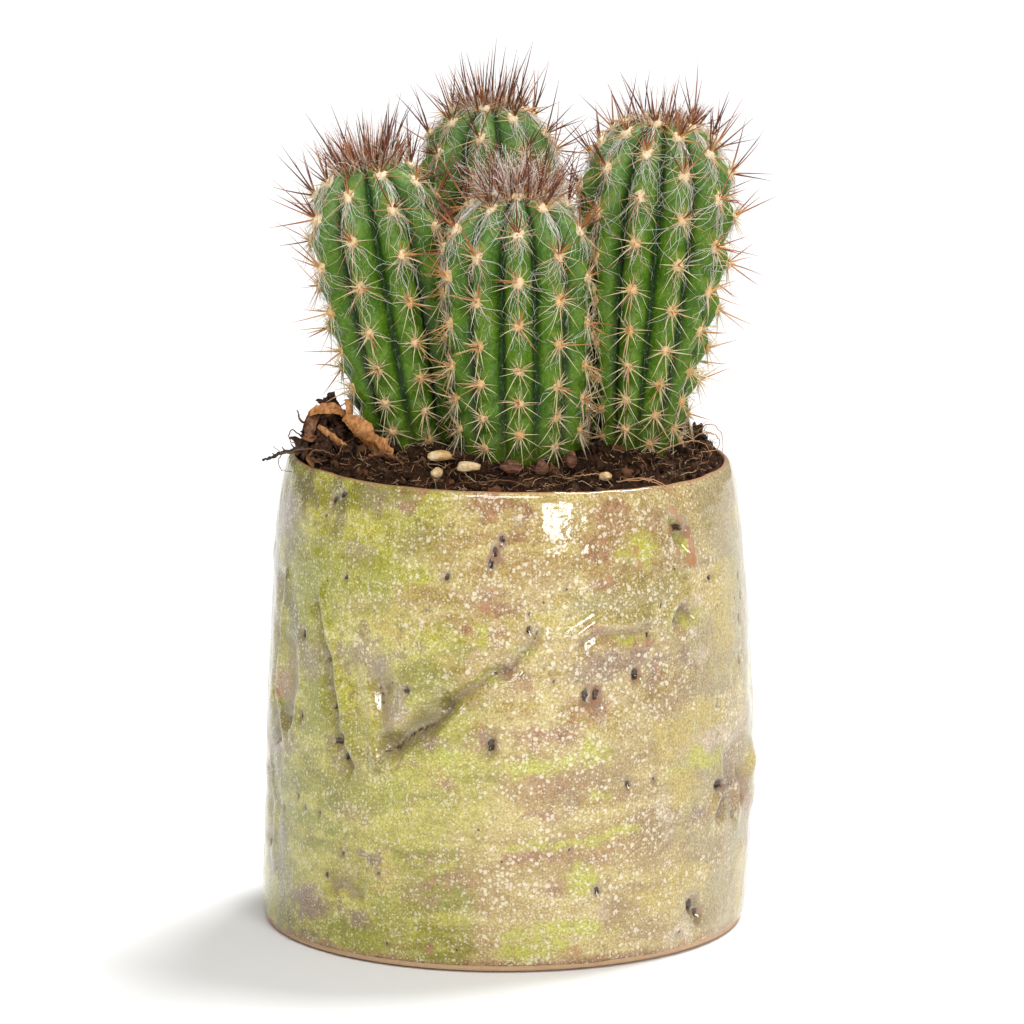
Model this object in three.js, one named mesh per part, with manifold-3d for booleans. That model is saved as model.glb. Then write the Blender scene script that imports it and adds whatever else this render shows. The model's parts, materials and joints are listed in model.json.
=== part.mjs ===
// A potted xique xique cactus: four ribbed, spiny stems in potting mix, in a handmade glazed pot.
// Units are millimetres, +Z is up, and the origin is the centre of the pot's flat base.
import * as THREE from "three";
import { mergeVertices } from "three/addons/utils/BufferGeometryUtils.js";
import Module from "manifold-3d";

const wasm = await Module();
wasm.setup();

// ---------------------------------------------------------------- driving dimensions

const gap = 0.35; // clearance left wherever two pieces touch

const potHeight = 94;
const potWidestRadius = 49.5;
const potFootRadius = 48.3;
const potMouthRadius = 42.6; // inner edge of the lip
const potWall = 4.8;
const potFloor = 6;
const potSideSegments = 72;
const potLean = 1.25; // how far the thrown body sits to +X of its foot
const rimTilt = 0.018; // the rim falls by this share towards +X

const soilAtWall = 92.9; // soil level where it meets the lip
const soilMound = 3.8; // rise from the wall to the stems
const soilSegments = 48;

const spineRootRadius = 0.42;
const spineSides = 3;
const spineRootDepth = 1.6; // how far a spine starts below the skin
const shortestSpine = 2.5;

// Each stem stands on `base`, where its axis leaves the soil, and ends in a woolly crown at `tip`.
const stems = [
  { name: "stem_front", base: [3.3, -15, 96.5], tip: [2.7, -14.2, 148.5], radius: 14.2,
    waist: 0.82, ribs: 11, facing: 0 },
  { name: "stem_left", base: [-17.5, -3, 95.5], tip: [-27.5, -2, 153.5], radius: 12.9,
    waist: 0.66, ribs: 9, facing: -20 },
  { name: "stem_right", base: [25.8, -4, 95.5], tip: [31.5, -3, 162], radius: 14.9,
    waist: 0.52, ribs: 11, facing: -14 },
  { name: "stem_back", base: [-2.5, 13.5, 96], tip: [-2.8, 16, 163], radius: 14.3,
    waist: 0.62, ribs: 9, facing: -9 },
];
const buriedDepth = 15; // length of stem and root crown below the soil line
const widestAt = 0.72; // share of the height where a stem is widest
const domePower = 2.1; // roundness of the crown: 2 is an ellipse
const grooveAtFoot = 0.1; // groove depth as a share of the radius
const grooveAtCrown = 0.28;
const facetsPerRib = 4;

const areoleSpacingLow = 6;
const areoleSpacingHigh = 9.4;
const firstAreole = 8.1; // height of the lowest modelled areole above the soil line
const crownSpines = 9;

const finishes = {
  glaze: { color: 0xb3ab72, roughness: 0.22 },
  soil: { color: 0x2e1f17, roughness: 0.95 },
  stemSkin: { color: 0x3f7a3a, roughness: 0.5 },
  grit: { color: 0xd9bd8a, roughness: 0.8 },
  bark: { color: 0x5a3424, roughness: 0.9 },
  dryLeaf: { color: 0xa8693a, roughness: 0.8 },
  twig: { color: 0x241a15, roughness: 0.9 },
};

// ---------------------------------------------------------------- small helpers

const lerp = THREE.MathUtils.lerp;
const smoothstep = THREE.MathUtils.smoothstep;
const degToRad = THREE.MathUtils.degToRad;

function finish(name) {
  return new THREE.MeshStandardMaterial({ ...finishes[name], metalness: 0 });
}

function namedMesh(name, geometry, finishName) {
  const mesh = new THREE.Mesh(geometry, finish(finishName));
  mesh.name = name;
  return mesh;
}

// A repeatable number from 0 to 1 for the integer or mixed key n.
function hash(n) {
  const s = Math.sin(n * 127.1 + 311.7) * 43758.5453;
  return s - Math.floor(s);
}

// Moves every vertex of a geometry with `move(v)`, which changes the Vector3 it is given.
function warp(geometry, move) {
  const at = geometry.getAttribute("position");
  const v = new THREE.Vector3();
  for (let i = 0; i < at.count; i++) {
    v.fromBufferAttribute(at, i);
    move(v);
    at.setXYZ(i, v.x, v.y, v.z);
  }
  return geometry;
}

// A surface of revolution about +Z. `profile` holds [radius, height] pairs, from the axis to the axis.
function lathe(profile, segments) {
  const points = profile.map(([r, z]) => new THREE.Vector2(Math.max(r, 0), z));
  return new THREE.LatheGeometry(points, segments).rotateX(Math.PI / 2);
}

function toSolid(geometry) {
  const bare = geometry.clone();
  bare.deleteAttribute("normal");
  bare.deleteAttribute("uv");
  const merged = mergeVertices(bare, 1e-3);
  return new wasm.Manifold(new wasm.Mesh({
    numProp: 3,
    vertProperties: new Float32Array(merged.attributes.position.array),
    triVerts: new Uint32Array(merged.index.array),
  }));
}

function toGeometry(solid) {
  const mesh = solid.getMesh();
  const position = new THREE.BufferAttribute(mesh.vertProperties, 3);
  const index = new THREE.BufferAttribute(mesh.triVerts, 1);
  return new THREE.BufferGeometry().setAttribute("position", position).setIndex(index);
}

// ---------------------------------------------------------------- pot

// The hand-thrown body leans a little from its foot, and its rim isn't level.
function handmade(v) {
  const up = v.z / potHeight;
  v.z -= v.x * rimTilt * up * up;
  v.x += potLean * smoothstep(v.z, 0, potHeight / 3);
}

function potProfile() {
  const belly = potHeight / 3;
  return [
    [0, 0],
    [potFootRadius - 1.6, 0],
    [potFootRadius, 1.2],
    [potFootRadius + 0.5, 5],
    [potWidestRadius - 0.3, 17],
    [potWidestRadius, belly],
    [potWidestRadius - 0.6, 46],
    [potWidestRadius - 1.4, 60],
    [potWidestRadius - 2.1, 73],
    [potWidestRadius - 3, 82],
    [potWidestRadius - 4.2, 88],
    [potWidestRadius - 5.2, 91.2],
    [potMouthRadius + 1.2, potHeight],
    [potMouthRadius + 0.2, potHeight - 0.3],
    [potMouthRadius, potHeight - 1.6],
    [potMouthRadius + 0.6, 86],
    [potWidestRadius - potWall - 1.2, 70],
    [potWidestRadius - potWall, belly],
    [potFootRadius - potWall, 12],
    [potFootRadius - potWall - 4, potFloor],
    [0, potFloor],
  ];
}

function makePot() {
  return namedMesh("pot", warp(lathe(potProfile(), potSideSegments), handmade), "glaze");
}

// ---------------------------------------------------------------- stems

function stemFrame(stem) {
  const base = new THREE.Vector3(...stem.base);
  const along = new THREE.Vector3(...stem.tip).sub(base);
  const turn = new THREE.Quaternion().setFromUnitVectors(
    new THREE.Vector3(0, 0, 1),
    along.clone().normalize(),
  );
  return { base, height: along.length(), turn };
}

// Crest radius at height share t: a waisted foot, a belly, then a rounded crown.
function crestRadius(stem, t) {
  if (t <= 0) return stem.radius * stem.waist;
  if (t <= widestAt) {
    const rise = Math.sin((Math.PI / 2) * (t / widestAt));
    return stem.radius * lerp(stem.waist, 1, Math.pow(rise, 1.1));
  }
  const u = Math.min((t - widestAt) / (1 - widestAt), 1);
  return stem.radius * Math.pow(1 - Math.pow(u, domePower), 1 / domePower);
}

function grooveShare(t) {
  return lerp(grooveAtFoot, grooveAtCrown, smoothstep(t, 0, 0.85));
}

// Angle of rib k about the stem's axis, measured from +X, with the facing rib towards -Y.
function ribAngle(stem, k) {
  return degToRad(stem.facing - 90) + (k * 2 * Math.PI) / stem.ribs;
}

function stemProfile(stem, height, grow) {
  const foot = stem.radius * stem.waist;
  const shares = [0, 0.12, 0.28, 0.44, 0.58, widestAt, 0.8, 0.87, 0.92, 0.96, 0.985];
  return [
    [0, -buriedDepth - grow],
    [foot * 0.45 + grow, -buriedDepth - grow],
    [foot * 0.8 + grow, -buriedDepth * 0.55],
    ...shares.map((t) => [crestRadius(stem, t) + grow, t * height]),
    [0, height * 0.992 + grow],
  ];
}

// The ribbed body in the stem's own frame. `grow` swells it evenly, to cut a socket around it.
// The ribs are pressed in while rib 0 lies on the lathe's first row of vertices, towards -Y.
function ribbedBody(stem, grow = 0) {
  const { height } = stemFrame(stem);
  const body = lathe(stemProfile(stem, height, grow), stem.ribs * facetsPerRib);
  warp(body, (v) => {
    const t = Math.max(v.z / height, 0);
    const angle = Math.atan2(v.y, v.x) + Math.PI / 2;
    const crest = Math.abs(Math.cos((angle * stem.ribs) / 2));
    const shrink = 1 - grooveShare(t) * (1 - Math.pow(crest, 0.8));
    v.x *= shrink;
    v.y *= shrink;
  });
  return body.rotateZ(degToRad(stem.facing));
}

// Stands a geometry made in the stem's own frame on the soil, leaning as the stem does.
function standing(stem, geometry) {
  const { base, turn } = stemFrame(stem);
  return geometry.applyQuaternion(turn).translate(base.x, base.y, base.z);
}

// Heights of the areoles along rib k, as shares of the stem's height. They alternate from rib to rib.
function areoleShares(stem, k) {
  const { height } = stemFrame(stem);
  const shares = [];
  const fromFront = Math.min(k, stem.ribs - k);
  let z = firstAreole + ((fromFront + 1) % 2) * areoleSpacingLow * 0.55;
  while (z / height < 0.93) {
    shares.push(z / height);
    z += lerp(areoleSpacingLow, areoleSpacingHigh, smoothstep(z / height, 0, 0.6));
  }
  return shares;
}

// One central spine from each areole, and a ring of taller ones round the crown.
function spinesOf(stem) {
  const { height } = stemFrame(stem);
  const spines = [];
  for (let k = 0; k < stem.ribs; k++) {
    const angle = ribAngle(stem, k);
    for (const t of areoleShares(stem, k)) {
      const lift = lerp(-8, 62, smoothstep(t, 0.35, 0.98)) + 20 * (hash(k * 7 + t * 31) - 0.5);
      const length = lerp(7, 12, smoothstep(t, 0.1, 0.9));
      spines.push({ angle, t, lift: degToRad(lift), length });
    }
  }
  for (let i = 0; i < crownSpines; i++) {
    const angle = (i * 2 * Math.PI) / crownSpines + 0.3;
    spines.push({ angle, t: 0.985, lift: degToRad(74 + 8 * (i % 2)), length: 10 + 2 * (i % 3) });
  }
  return spines.map((s) => {
    const outward = new THREE.Vector3(Math.cos(s.angle), Math.sin(s.angle), 0);
    const from = outward.clone().multiplyScalar(crestRadius(stem, s.t) - 0.4);
    from.z = s.t * height;
    const direction = outward.multiplyScalar(Math.cos(s.lift));
    direction.z = Math.sin(s.lift);
    return { from, direction, length: s.length };
  });
}

// Distance from a world point to the skin of a stem, negative inside.
function distanceToSkin(stem, point) {
  const { base, height, turn } = stemFrame(stem);
  const local = point.clone().sub(base).applyQuaternion(turn.clone().invert());
  const t = THREE.MathUtils.clamp(local.z / height, 0, 1);
  const beyond = Math.max(local.z - height, 0);
  return Math.hypot(Math.hypot(local.x, local.y) - crestRadius(stem, Math.min(t, 0.97)), beyond);
}

// The longest part of a spine that stays nearer to its own stem than to any other.
function clearLength(stem, spine) {
  const { base, turn } = stemFrame(stem);
  const from = spine.from.clone().applyQuaternion(turn).add(base);
  const direction = spine.direction.clone().applyQuaternion(turn);
  const others = stems.filter((other) => other !== stem);
  const step = 0.5;
  for (let reach = step; reach <= spine.length; reach += step) {
    const point = from.clone().addScaledVector(direction, reach);
    const own = distanceToSkin(stem, point);
    const nearest = Math.min(...others.map((other) => distanceToSkin(other, point)));
    if (nearest < own + 1.2) return reach - step;
  }
  return spine.length;
}

function spineSolid(spine, length) {
  const whole = length + spineRootDepth;
  const cone = new THREE.ConeGeometry(spineRootRadius, whole, spineSides);
  const turn = new THREE.Quaternion().setFromUnitVectors(new THREE.Vector3(0, 1, 0), spine.direction);
  const middle = spine.from.clone().addScaledVector(spine.direction, whole / 2 - spineRootDepth);
  return toSolid(cone.applyQuaternion(turn).translate(middle.x, middle.y, middle.z));
}

// A stem as it grew: the ribbed body and its spines in one piece.
function makeStem(stem) {
  let solid = toSolid(ribbedBody(stem));
  for (const spine of spinesOf(stem)) {
    const length = clearLength(stem, spine);
    if (length >= shortestSpine) solid = solid.add(spineSolid(spine, length));
  }
  return namedMesh(stem.name, standing(stem, toGeometry(solid)), "stemSkin");
}

// ---------------------------------------------------------------- potting mix

// Height of the soil over the point x, y: a mound with a few heaps and small lumps.
function soilHeight(x, y) {
  const r = Math.hypot(x - potLean, y);
  const mound = soilMound * smoothstep(potMouthRadius - r, 0, 22);
  const heap = (hx, hy, tall, wide) => tall * Math.exp(-((x - hx) ** 2 + (y - hy) ** 2) / wide ** 2);
  const heaps = heap(-34, -8, 4.5, 9) + heap(37, 1, 3.5, 8) + heap(3, 36, 2, 13);
  const lumps = Math.sin(x * 0.9 + y * 0.5) * Math.sin(y * 0.8 - x * 0.3);
  const calm = smoothstep(potMouthRadius - r, 0, 5);
  return soilAtWall + mound + heaps * smoothstep(potMouthRadius - r, 0, 6) + 0.6 * lumps * calm;
}

function soilProfile() {
  const outer = potMouthRadius - gap - 0.1;
  const surface = [outer, 39, 36, 32.5, 29, 25, 21, 17, 13, 9, 5].map((r) => [r, soilAtWall]);
  return [
    [0, potFloor + gap],
    [potFootRadius - potWall - 5, potFloor + gap],
    [potFootRadius - potWall - 1, 13],
    [potWidestRadius - potWall - 0.8, potHeight / 3],
    [potWidestRadius - potWall - 2, 69],
    [potMouthRadius + 0.1, 85],
    [outer, soilAtWall - 0.8],
    ...surface,
    [0, soilAtWall],
  ];
}

function makeSoil() {
  const fill = warp(lathe(soilProfile(), soilSegments), (v) => {
    if (v.z > soilAtWall - 0.01) v.z = soilHeight(v.x + potLean, v.y);
    handmade(v);
  });
  const sockets = stems.map((stem) => toSolid(standing(stem, ribbedBody(stem, gap))));
  const socketed = sockets.reduce((solid, socket) => solid.subtract(socket), toSolid(fill));
  return namedMesh("potting_mix", toGeometry(socketed), "soil");
}

// ---------------------------------------------------------------- what lies on the soil

// Height of whatever lies under the point x, y: the soil, or the lip near the edge.
function groundHeight(x, y) {
  const r = Math.hypot(x - potLean, y);
  const level = r > potMouthRadius - 1.5 ? Math.max(potHeight, soilHeight(x, y)) : soilHeight(x, y);
  return level - x * rimTilt;
}

// Sets a geometry, made round its own middle, down on the soil at x, y.
function layDown(geometry, x, y, turnDegrees = 0, leanDegrees = 0) {
  geometry.rotateX(degToRad(leanDegrees)).rotateZ(degToRad(turnDegrees));
  const at = geometry.getAttribute("position");
  let lift = -Infinity;
  for (let i = 0; i < at.count; i++) {
    const px = x + at.getX(i);
    const py = y + at.getY(i);
    lift = Math.max(lift, groundHeight(px, py) - at.getZ(i));
  }
  return geometry.translate(x, y, lift + gap + 0.5);
}

function rounded(sizeX, sizeY, sizeZ, seed, detail = 1) {
  const lump = new THREE.IcosahedronGeometry(0.5, detail);
  return warp(lump, (v) => {
    const key = Math.round(v.x * 40) + Math.round(v.y * 40) * 3 + Math.round(v.z * 40) * 7;
    v.multiplyScalar(0.9 + 0.2 * hash(key + seed));
    v.set(v.x * sizeX, v.y * sizeY, v.z * sizeZ);
  });
}

// Pale grit stones: x, y, length, breadth, height, turn.
const gritStones = [
  [-12.4, -27, 5, 3, 2.4, 10],
  [-6.8, -32, 5.4, 2.6, 2.2, 5],
  [-12.8, -33.4, 3, 2.6, 2.2, 60],
  [19.8, -32.4, 2.6, 2.2, 1.9, 20],
  [9.5, 34.5, 4.4, 3.2, 2.4, 40],
  [-24, 28.5, 3.6, 3, 2.2, 75],
];

// Bark chips in the mix: x, y, length, breadth, height, turn.
const barkChips = [
  [1.4, -33.2, 5.4, 3.4, 3, 15],
  [7.4, -33, 3.4, 2.6, 4.4, 70],
  [13.4, -29.4, 3, 2.4, 4.6, 30],
  [19.5, 30.5, 6, 4, 2.6, 55],
  [-15, 35, 4.6, 3, 2.4, 120],
];

// A dry, curled leaf flake: an outline with a pointed end, extruded thin, then rolled up lengthwise.
function leafFlake(length, breadth, curl) {
  const outline = new THREE.Shape();
  outline.moveTo(-length / 2, 0);
  outline.quadraticCurveTo(-length * 0.2, breadth * 0.7, length * 0.15, breadth * 0.45);
  outline.quadraticCurveTo(length * 0.4, breadth * 0.35, length / 2, 0);
  outline.quadraticCurveTo(length * 0.2, -breadth * 0.6, -length * 0.15, -breadth * 0.4);
  outline.quadraticCurveTo(-length * 0.4, -breadth * 0.3, -length / 2, 0);
  const flake = new THREE.ExtrudeGeometry(outline, { depth: 0.6, bevelEnabled: false, curveSegments: 4 });
  return warp(flake, (v) => {
    v.z += curl * (v.x / length) ** 2 * 4 - 0.6 * (v.y / breadth) ** 2;
  });
}

// Flakes of dry leaf: x, y, length, breadth, curl, turn, lean.
const leafFlakes = [
  [-34.2, -4.5, 9.5, 5, 2.2, 80, 16],
  [-31.6, -14.6, 9, 5, 1.6, 105, 12],
  [-22.6, -22.4, 9, 5, -1.4, 145, 8],
];

function makeTwig() {
  const route = new THREE.CatmullRomCurve3([
    new THREE.Vector3(-7.5, -1.6, 0.6),
    new THREE.Vector3(-3.5, -1, 0.9),
    new THREE.Vector3(0, 0, 0.5),
    new THREE.Vector3(4, 0.6, 0),
  ]);
  const section = new THREE.Shape().absarc(0, 0, 0.5, 0, 2 * Math.PI, false);
  return new THREE.ExtrudeGeometry(section, { steps: 8, curveSegments: 3, extrudePath: route });
}

function makeDebris() {
  const debris = gritStones.map(([x, y, long, broad, tall, turn], i) =>
    namedMesh(`grit_stone_${i + 1}`, layDown(rounded(long, broad, tall, i), x, y, turn), "grit"));
  barkChips.forEach(([x, y, long, broad, tall, turn], i) => {
    const chip = layDown(rounded(long, broad, tall, i + 20, 0), x, y, turn);
    debris.push(namedMesh(`bark_chip_${i + 1}`, chip, "bark"));
  });
  leafFlakes.forEach(([x, y, long, broad, curl, turn, lean], i) => {
    const flake = layDown(leafFlake(long, broad, curl), x, y, turn, lean);
    debris.push(namedMesh(`dry_leaf_${i + 1}`, flake, "dryLeaf"));
  });
  debris.push(namedMesh("twig", layDown(makeTwig(), -39, -13.5, 8), "twig"));
  return debris;
}

// ---------------------------------------------------------------- assembly

const plant = new THREE.Group();
plant.add(makePot());
plant.add(makeSoil());
for (const stem of stems) plant.add(makeStem(stem));
plant.add(...makeDebris());

export default plant;
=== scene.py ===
import itertools
import json
import math

import bpy
import numpy as np
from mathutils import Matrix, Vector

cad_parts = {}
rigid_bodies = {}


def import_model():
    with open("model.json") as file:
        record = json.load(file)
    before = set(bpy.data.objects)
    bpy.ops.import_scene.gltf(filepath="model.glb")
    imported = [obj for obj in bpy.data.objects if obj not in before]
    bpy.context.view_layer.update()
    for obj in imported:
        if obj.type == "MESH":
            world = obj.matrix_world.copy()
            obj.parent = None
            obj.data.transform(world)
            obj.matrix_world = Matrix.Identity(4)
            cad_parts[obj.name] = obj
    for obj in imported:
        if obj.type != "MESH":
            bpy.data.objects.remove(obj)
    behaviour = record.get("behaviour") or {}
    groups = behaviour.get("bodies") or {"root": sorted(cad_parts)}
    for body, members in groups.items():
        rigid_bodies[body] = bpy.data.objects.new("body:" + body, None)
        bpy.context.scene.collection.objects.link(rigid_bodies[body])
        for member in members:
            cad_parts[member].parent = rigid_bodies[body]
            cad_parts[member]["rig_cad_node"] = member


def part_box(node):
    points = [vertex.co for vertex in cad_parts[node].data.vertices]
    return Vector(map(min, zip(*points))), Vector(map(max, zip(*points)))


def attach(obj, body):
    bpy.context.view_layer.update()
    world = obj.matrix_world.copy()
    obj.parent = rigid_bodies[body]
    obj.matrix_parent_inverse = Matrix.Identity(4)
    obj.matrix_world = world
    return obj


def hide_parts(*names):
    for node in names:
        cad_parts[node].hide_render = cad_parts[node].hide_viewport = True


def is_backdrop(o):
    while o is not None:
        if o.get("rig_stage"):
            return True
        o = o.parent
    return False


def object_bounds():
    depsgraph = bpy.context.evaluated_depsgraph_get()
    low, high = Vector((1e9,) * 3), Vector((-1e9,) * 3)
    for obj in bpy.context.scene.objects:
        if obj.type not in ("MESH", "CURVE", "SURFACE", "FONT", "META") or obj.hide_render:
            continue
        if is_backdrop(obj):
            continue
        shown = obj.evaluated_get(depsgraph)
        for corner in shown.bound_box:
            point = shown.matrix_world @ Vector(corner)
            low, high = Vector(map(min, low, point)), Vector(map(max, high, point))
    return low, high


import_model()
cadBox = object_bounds()
mm = 0.001
print("frame loaded")

# camera and light

view = {
    "distance": 1.083,  # metres in front of the pot's centre
    "height": 0.280,
    "aside": 0.0017,
    "down": 10.357,  # degrees below level
    "lens": 193.4,
    "sensor": 36,
    "farthest": 20,
}
studio = {
    "world": 0.26,
    "sun": (3.1, 22, (0.33, 0.34, 0.88)),  # strength, softness in degrees, towards the light
    "floor": (0.93, 0.93, 0.93),
    "floorGlow": 0.01,
    # name: place, width, height, watts, aim
    "softboxes": {
        "window": ((0.50, -1.07, 0.41), 0.30, 0.24, 3.9, (0, 0, 0.08)),
        "top": ((-0.05, -0.62, 0.90), 0.60, 0.30, 5.4, (0, 0, 0.10)),
        "left_fill": ((-0.80, -0.60, 0.35), 0.25, 0.60, 0.3, (0, 0, 0.09)),
    },
}


def addCamera():
    data = bpy.data.cameras.new("camera")
    data.lens = view["lens"]
    data.sensor_width = view["sensor"]
    data.clip_end = view["farthest"]
    camera = bpy.data.objects.new("camera", data)
    camera.location = (view["aside"], -view["distance"], view["height"])
    camera.rotation_euler = (math.radians(90 - view["down"]), 0, 0)
    bpy.context.scene.collection.objects.link(camera)
    bpy.context.scene.camera = camera


def turnTowards(holder, direction):
    flat = math.hypot(direction[0], direction[1])
    pitch = math.atan2(flat, -direction[2])
    heading = math.atan2(-direction[0], direction[1])
    holder.rotation_euler = (pitch, 0, heading)
    bpy.context.scene.collection.objects.link(holder)


def addSoftbox(name, place, width, height, watts, aim):
    light = bpy.data.lights.new(name, "AREA")
    light.shape = "RECTANGLE"
    light.size = width
    light.size_y = height
    light.energy = watts
    holder = bpy.data.objects.new(name, light)
    holder.location = place
    turnTowards(holder, [a - p for a, p in zip(aim, place)])


def addSun(strength, softness, towards):
    light = bpy.data.lights.new("sun", "SUN")
    light.energy = strength
    light.angle = math.radians(softness)
    turnTowards(bpy.data.objects.new("sun", light), [-c for c in towards])


addCamera()
addSun(*studio["sun"])
for lightName, setting in studio["softboxes"].items():
    addSoftbox(lightName, *setting)
world = bpy.data.worlds.new("studio")
world.use_nodes = True
background = world.node_tree.nodes["Background"].inputs
background["Color"].default_value = (1, 1, 1, 1)
background["Strength"].default_value = studio["world"]
bpy.context.scene.world = world
bpy.context.scene.view_settings.view_transform = "Standard"
print("camera and light ready")

# shared tools


def smooth(x, low, high):
    t = np.clip((x - low) / (high - low), 0, 1)
    return t * t * (3 - 2 * t)


def hashed(cell, seed):
    # A repeatable number from 0 to 1 for each whole-number cell.
    mixed = cell[..., 0] * 73856093 ^ cell[..., 1] * 19349663 ^ cell[..., 2] * 83492791 ^ seed * 2654435
    mixed = (mixed ^ (mixed >> 13)) * 1274126177 & 0x7FFFFFFF
    mixed = (mixed ^ (mixed >> 16)) * 668265263 & 0x7FFFFFFF
    return (mixed % 1000003) / 1000003


def noise(points, size, seed):
    # Smooth noise from -1 to 1 with features `size` across.
    scaled = np.asarray(points, float) / size
    cell = np.floor(scaled).astype(np.int64)
    part = scaled - cell
    part = part * part * (3 - 2 * part)
    total = np.zeros(scaled.shape[:-1])
    for corner in itertools.product((0, 1), repeat=3):
        weight = np.prod(np.where(corner, part, 1 - part), axis=-1)
        total += weight * hashed(cell + corner, seed)
    return 2 * total - 1


def roughNoise(points, size, octaves, seed, fade=0.5):
    # Noise with finer and finer layers added, each weaker than the one before.
    return sum(fade**i * noise(points, size / 2**i, seed + i) for i in range(octaves))


def hump(x, width=1.0):
    # 1 at zero, falling off smoothly over the width on both sides.
    return np.exp(-((x / width) ** 2))


def unit(vectors):
    return vectors / np.maximum(np.linalg.norm(vectors, axis=-1, keepdims=True), 1e-12)


def buildMesh(name, points, faceGroups, marks=None):
    # Faces come in groups, each an array of one polygon size.
    groups = [np.asarray(group, np.int32) for group in faceGroups if len(group)]
    mesh = bpy.data.meshes.new(name)
    mesh.vertices.add(len(points))
    mesh.vertices.foreach_set("co", np.asarray(points, np.float32).ravel())
    mesh.loops.add(sum(group.size for group in groups))
    mesh.loops.foreach_set("vertex_index", np.concatenate([group.ravel() for group in groups]))
    sizes = np.concatenate([np.full(len(group), group.shape[1]) for group in groups])
    mesh.polygons.add(len(sizes))
    starts = np.concatenate([[0], np.cumsum(sizes)[:-1]])
    mesh.polygons.foreach_set("loop_start", starts.astype(np.int32))
    mesh.polygons.foreach_set("use_smooth", np.ones(len(sizes), bool))
    for label, values in (marks or {}).items():
        attribute = mesh.attributes.new(label, "FLOAT", "POINT")
        attribute.data.foreach_set("value", np.asarray(values, np.float32))
    mesh.update(calc_edges=True)
    mesh.validate()
    return mesh


def addPiece(name, mesh, material, replaced=()):
    piece = bpy.data.objects.new(name, mesh)
    bpy.context.scene.collection.objects.link(piece)
    mesh.materials.append(material)
    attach(piece, "root")
    if replaced:
        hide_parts(*replaced)
    return piece


class Gather:
    # Collects many small solids into the points, faces and marks of one mesh.
    def __init__(self):
        self.points = []
        self.groups = {}
        self.marks = {}
        self.count = 0

    def add(self, points, faceGroups, **marks):
        points = np.asarray(points, float).reshape(-1, 3)
        for group in faceGroups:
            group = np.asarray(group)
            self.groups.setdefault(group.shape[1], []).append(group + self.count)
        for label, values in marks.items():
            whole = np.broadcast_to(np.asarray(values, float), (len(points),))
            self.marks.setdefault(label, []).append(whole)
        self.points.append(points)
        self.count += len(points)

    def addTubes(self, paths, radii, sides, **marks):
        # Marks are given for each tube, for each step, or for all.
        points, faces = tubes(paths, radii, sides)
        spread = {
            label: np.repeat(np.broadcast_to(values, np.shape(paths)[:2]).ravel(), sides)
            for label, values in marks.items()
        }
        self.add(points * mm, faces, **spread)

    def mesh(self, name):
        groups = [np.concatenate(groups) for groups in self.groups.values()]
        marks = {label: np.concatenate(values) for label, values in self.marks.items()}
        return buildMesh(name, np.concatenate(self.points), groups, marks)


def gridFaces(rows, columns, wrap):
    # Quads between the rows of a grid whose points run row by row.
    row = np.arange(rows - 1)[:, None]
    column = np.arange(columns if wrap else columns - 1)[None, :]
    after = (column + 1) % columns
    below = row * columns
    above = below + columns
    corners = np.broadcast_arrays(below + column, below + after, above + after, above + column)
    return np.stack(corners, axis=-1).reshape(-1, 4)


def lathedFaces(rows, columns):
    # A closed skin: a bottom pole, the rows above it, and a top pole, numbered in that order.
    body = gridFaces(rows, columns, True) + 1
    column = np.arange(columns)
    after = (column + 1) % columns
    top = 1 + rows * columns
    last = 1 + (rows - 1) * columns
    bottomFan = np.stack([np.zeros(columns, int), after + 1, column + 1], axis=-1)
    topFan = np.stack([np.full(columns, top), last + column, last + after], axis=-1)
    return [body, bottomFan, topFan]


def tubes(paths, radii, sides):
    # Closed tubes along paths (tube, step, xyz) with a radius at each step.
    paths = np.asarray(paths, float)
    count, steps, _ = paths.shape
    along = unit(np.gradient(paths, axis=1))
    lead = along[:, :1]
    helper = np.where(np.abs(lead[..., 2:]) > 0.9, np.array([1.0, 0, 0]), np.array([0, 0, 1.0]))
    side = unit(np.cross(along, helper))
    other = np.cross(along, side)
    turn = 2 * math.pi * np.arange(sides) / sides
    spread = side[:, :, None] * np.cos(turn)[:, None] + other[:, :, None] * np.sin(turn)[:, None]
    points = paths[:, :, None] + spread * np.asarray(radii)[:, :, None, None]
    first = (np.arange(count) * steps * sides)[:, None, None]
    quads = (gridFaces(steps, sides, True)[None] + first).reshape(-1, 4)
    ring = np.arange(sides)[None]
    starts = ring[:, ::-1] + first[:, 0]
    ends = ring + first[:, 0] + (steps - 1) * sides
    return points.reshape(-1, 3), [quads, starts, ends]


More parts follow.
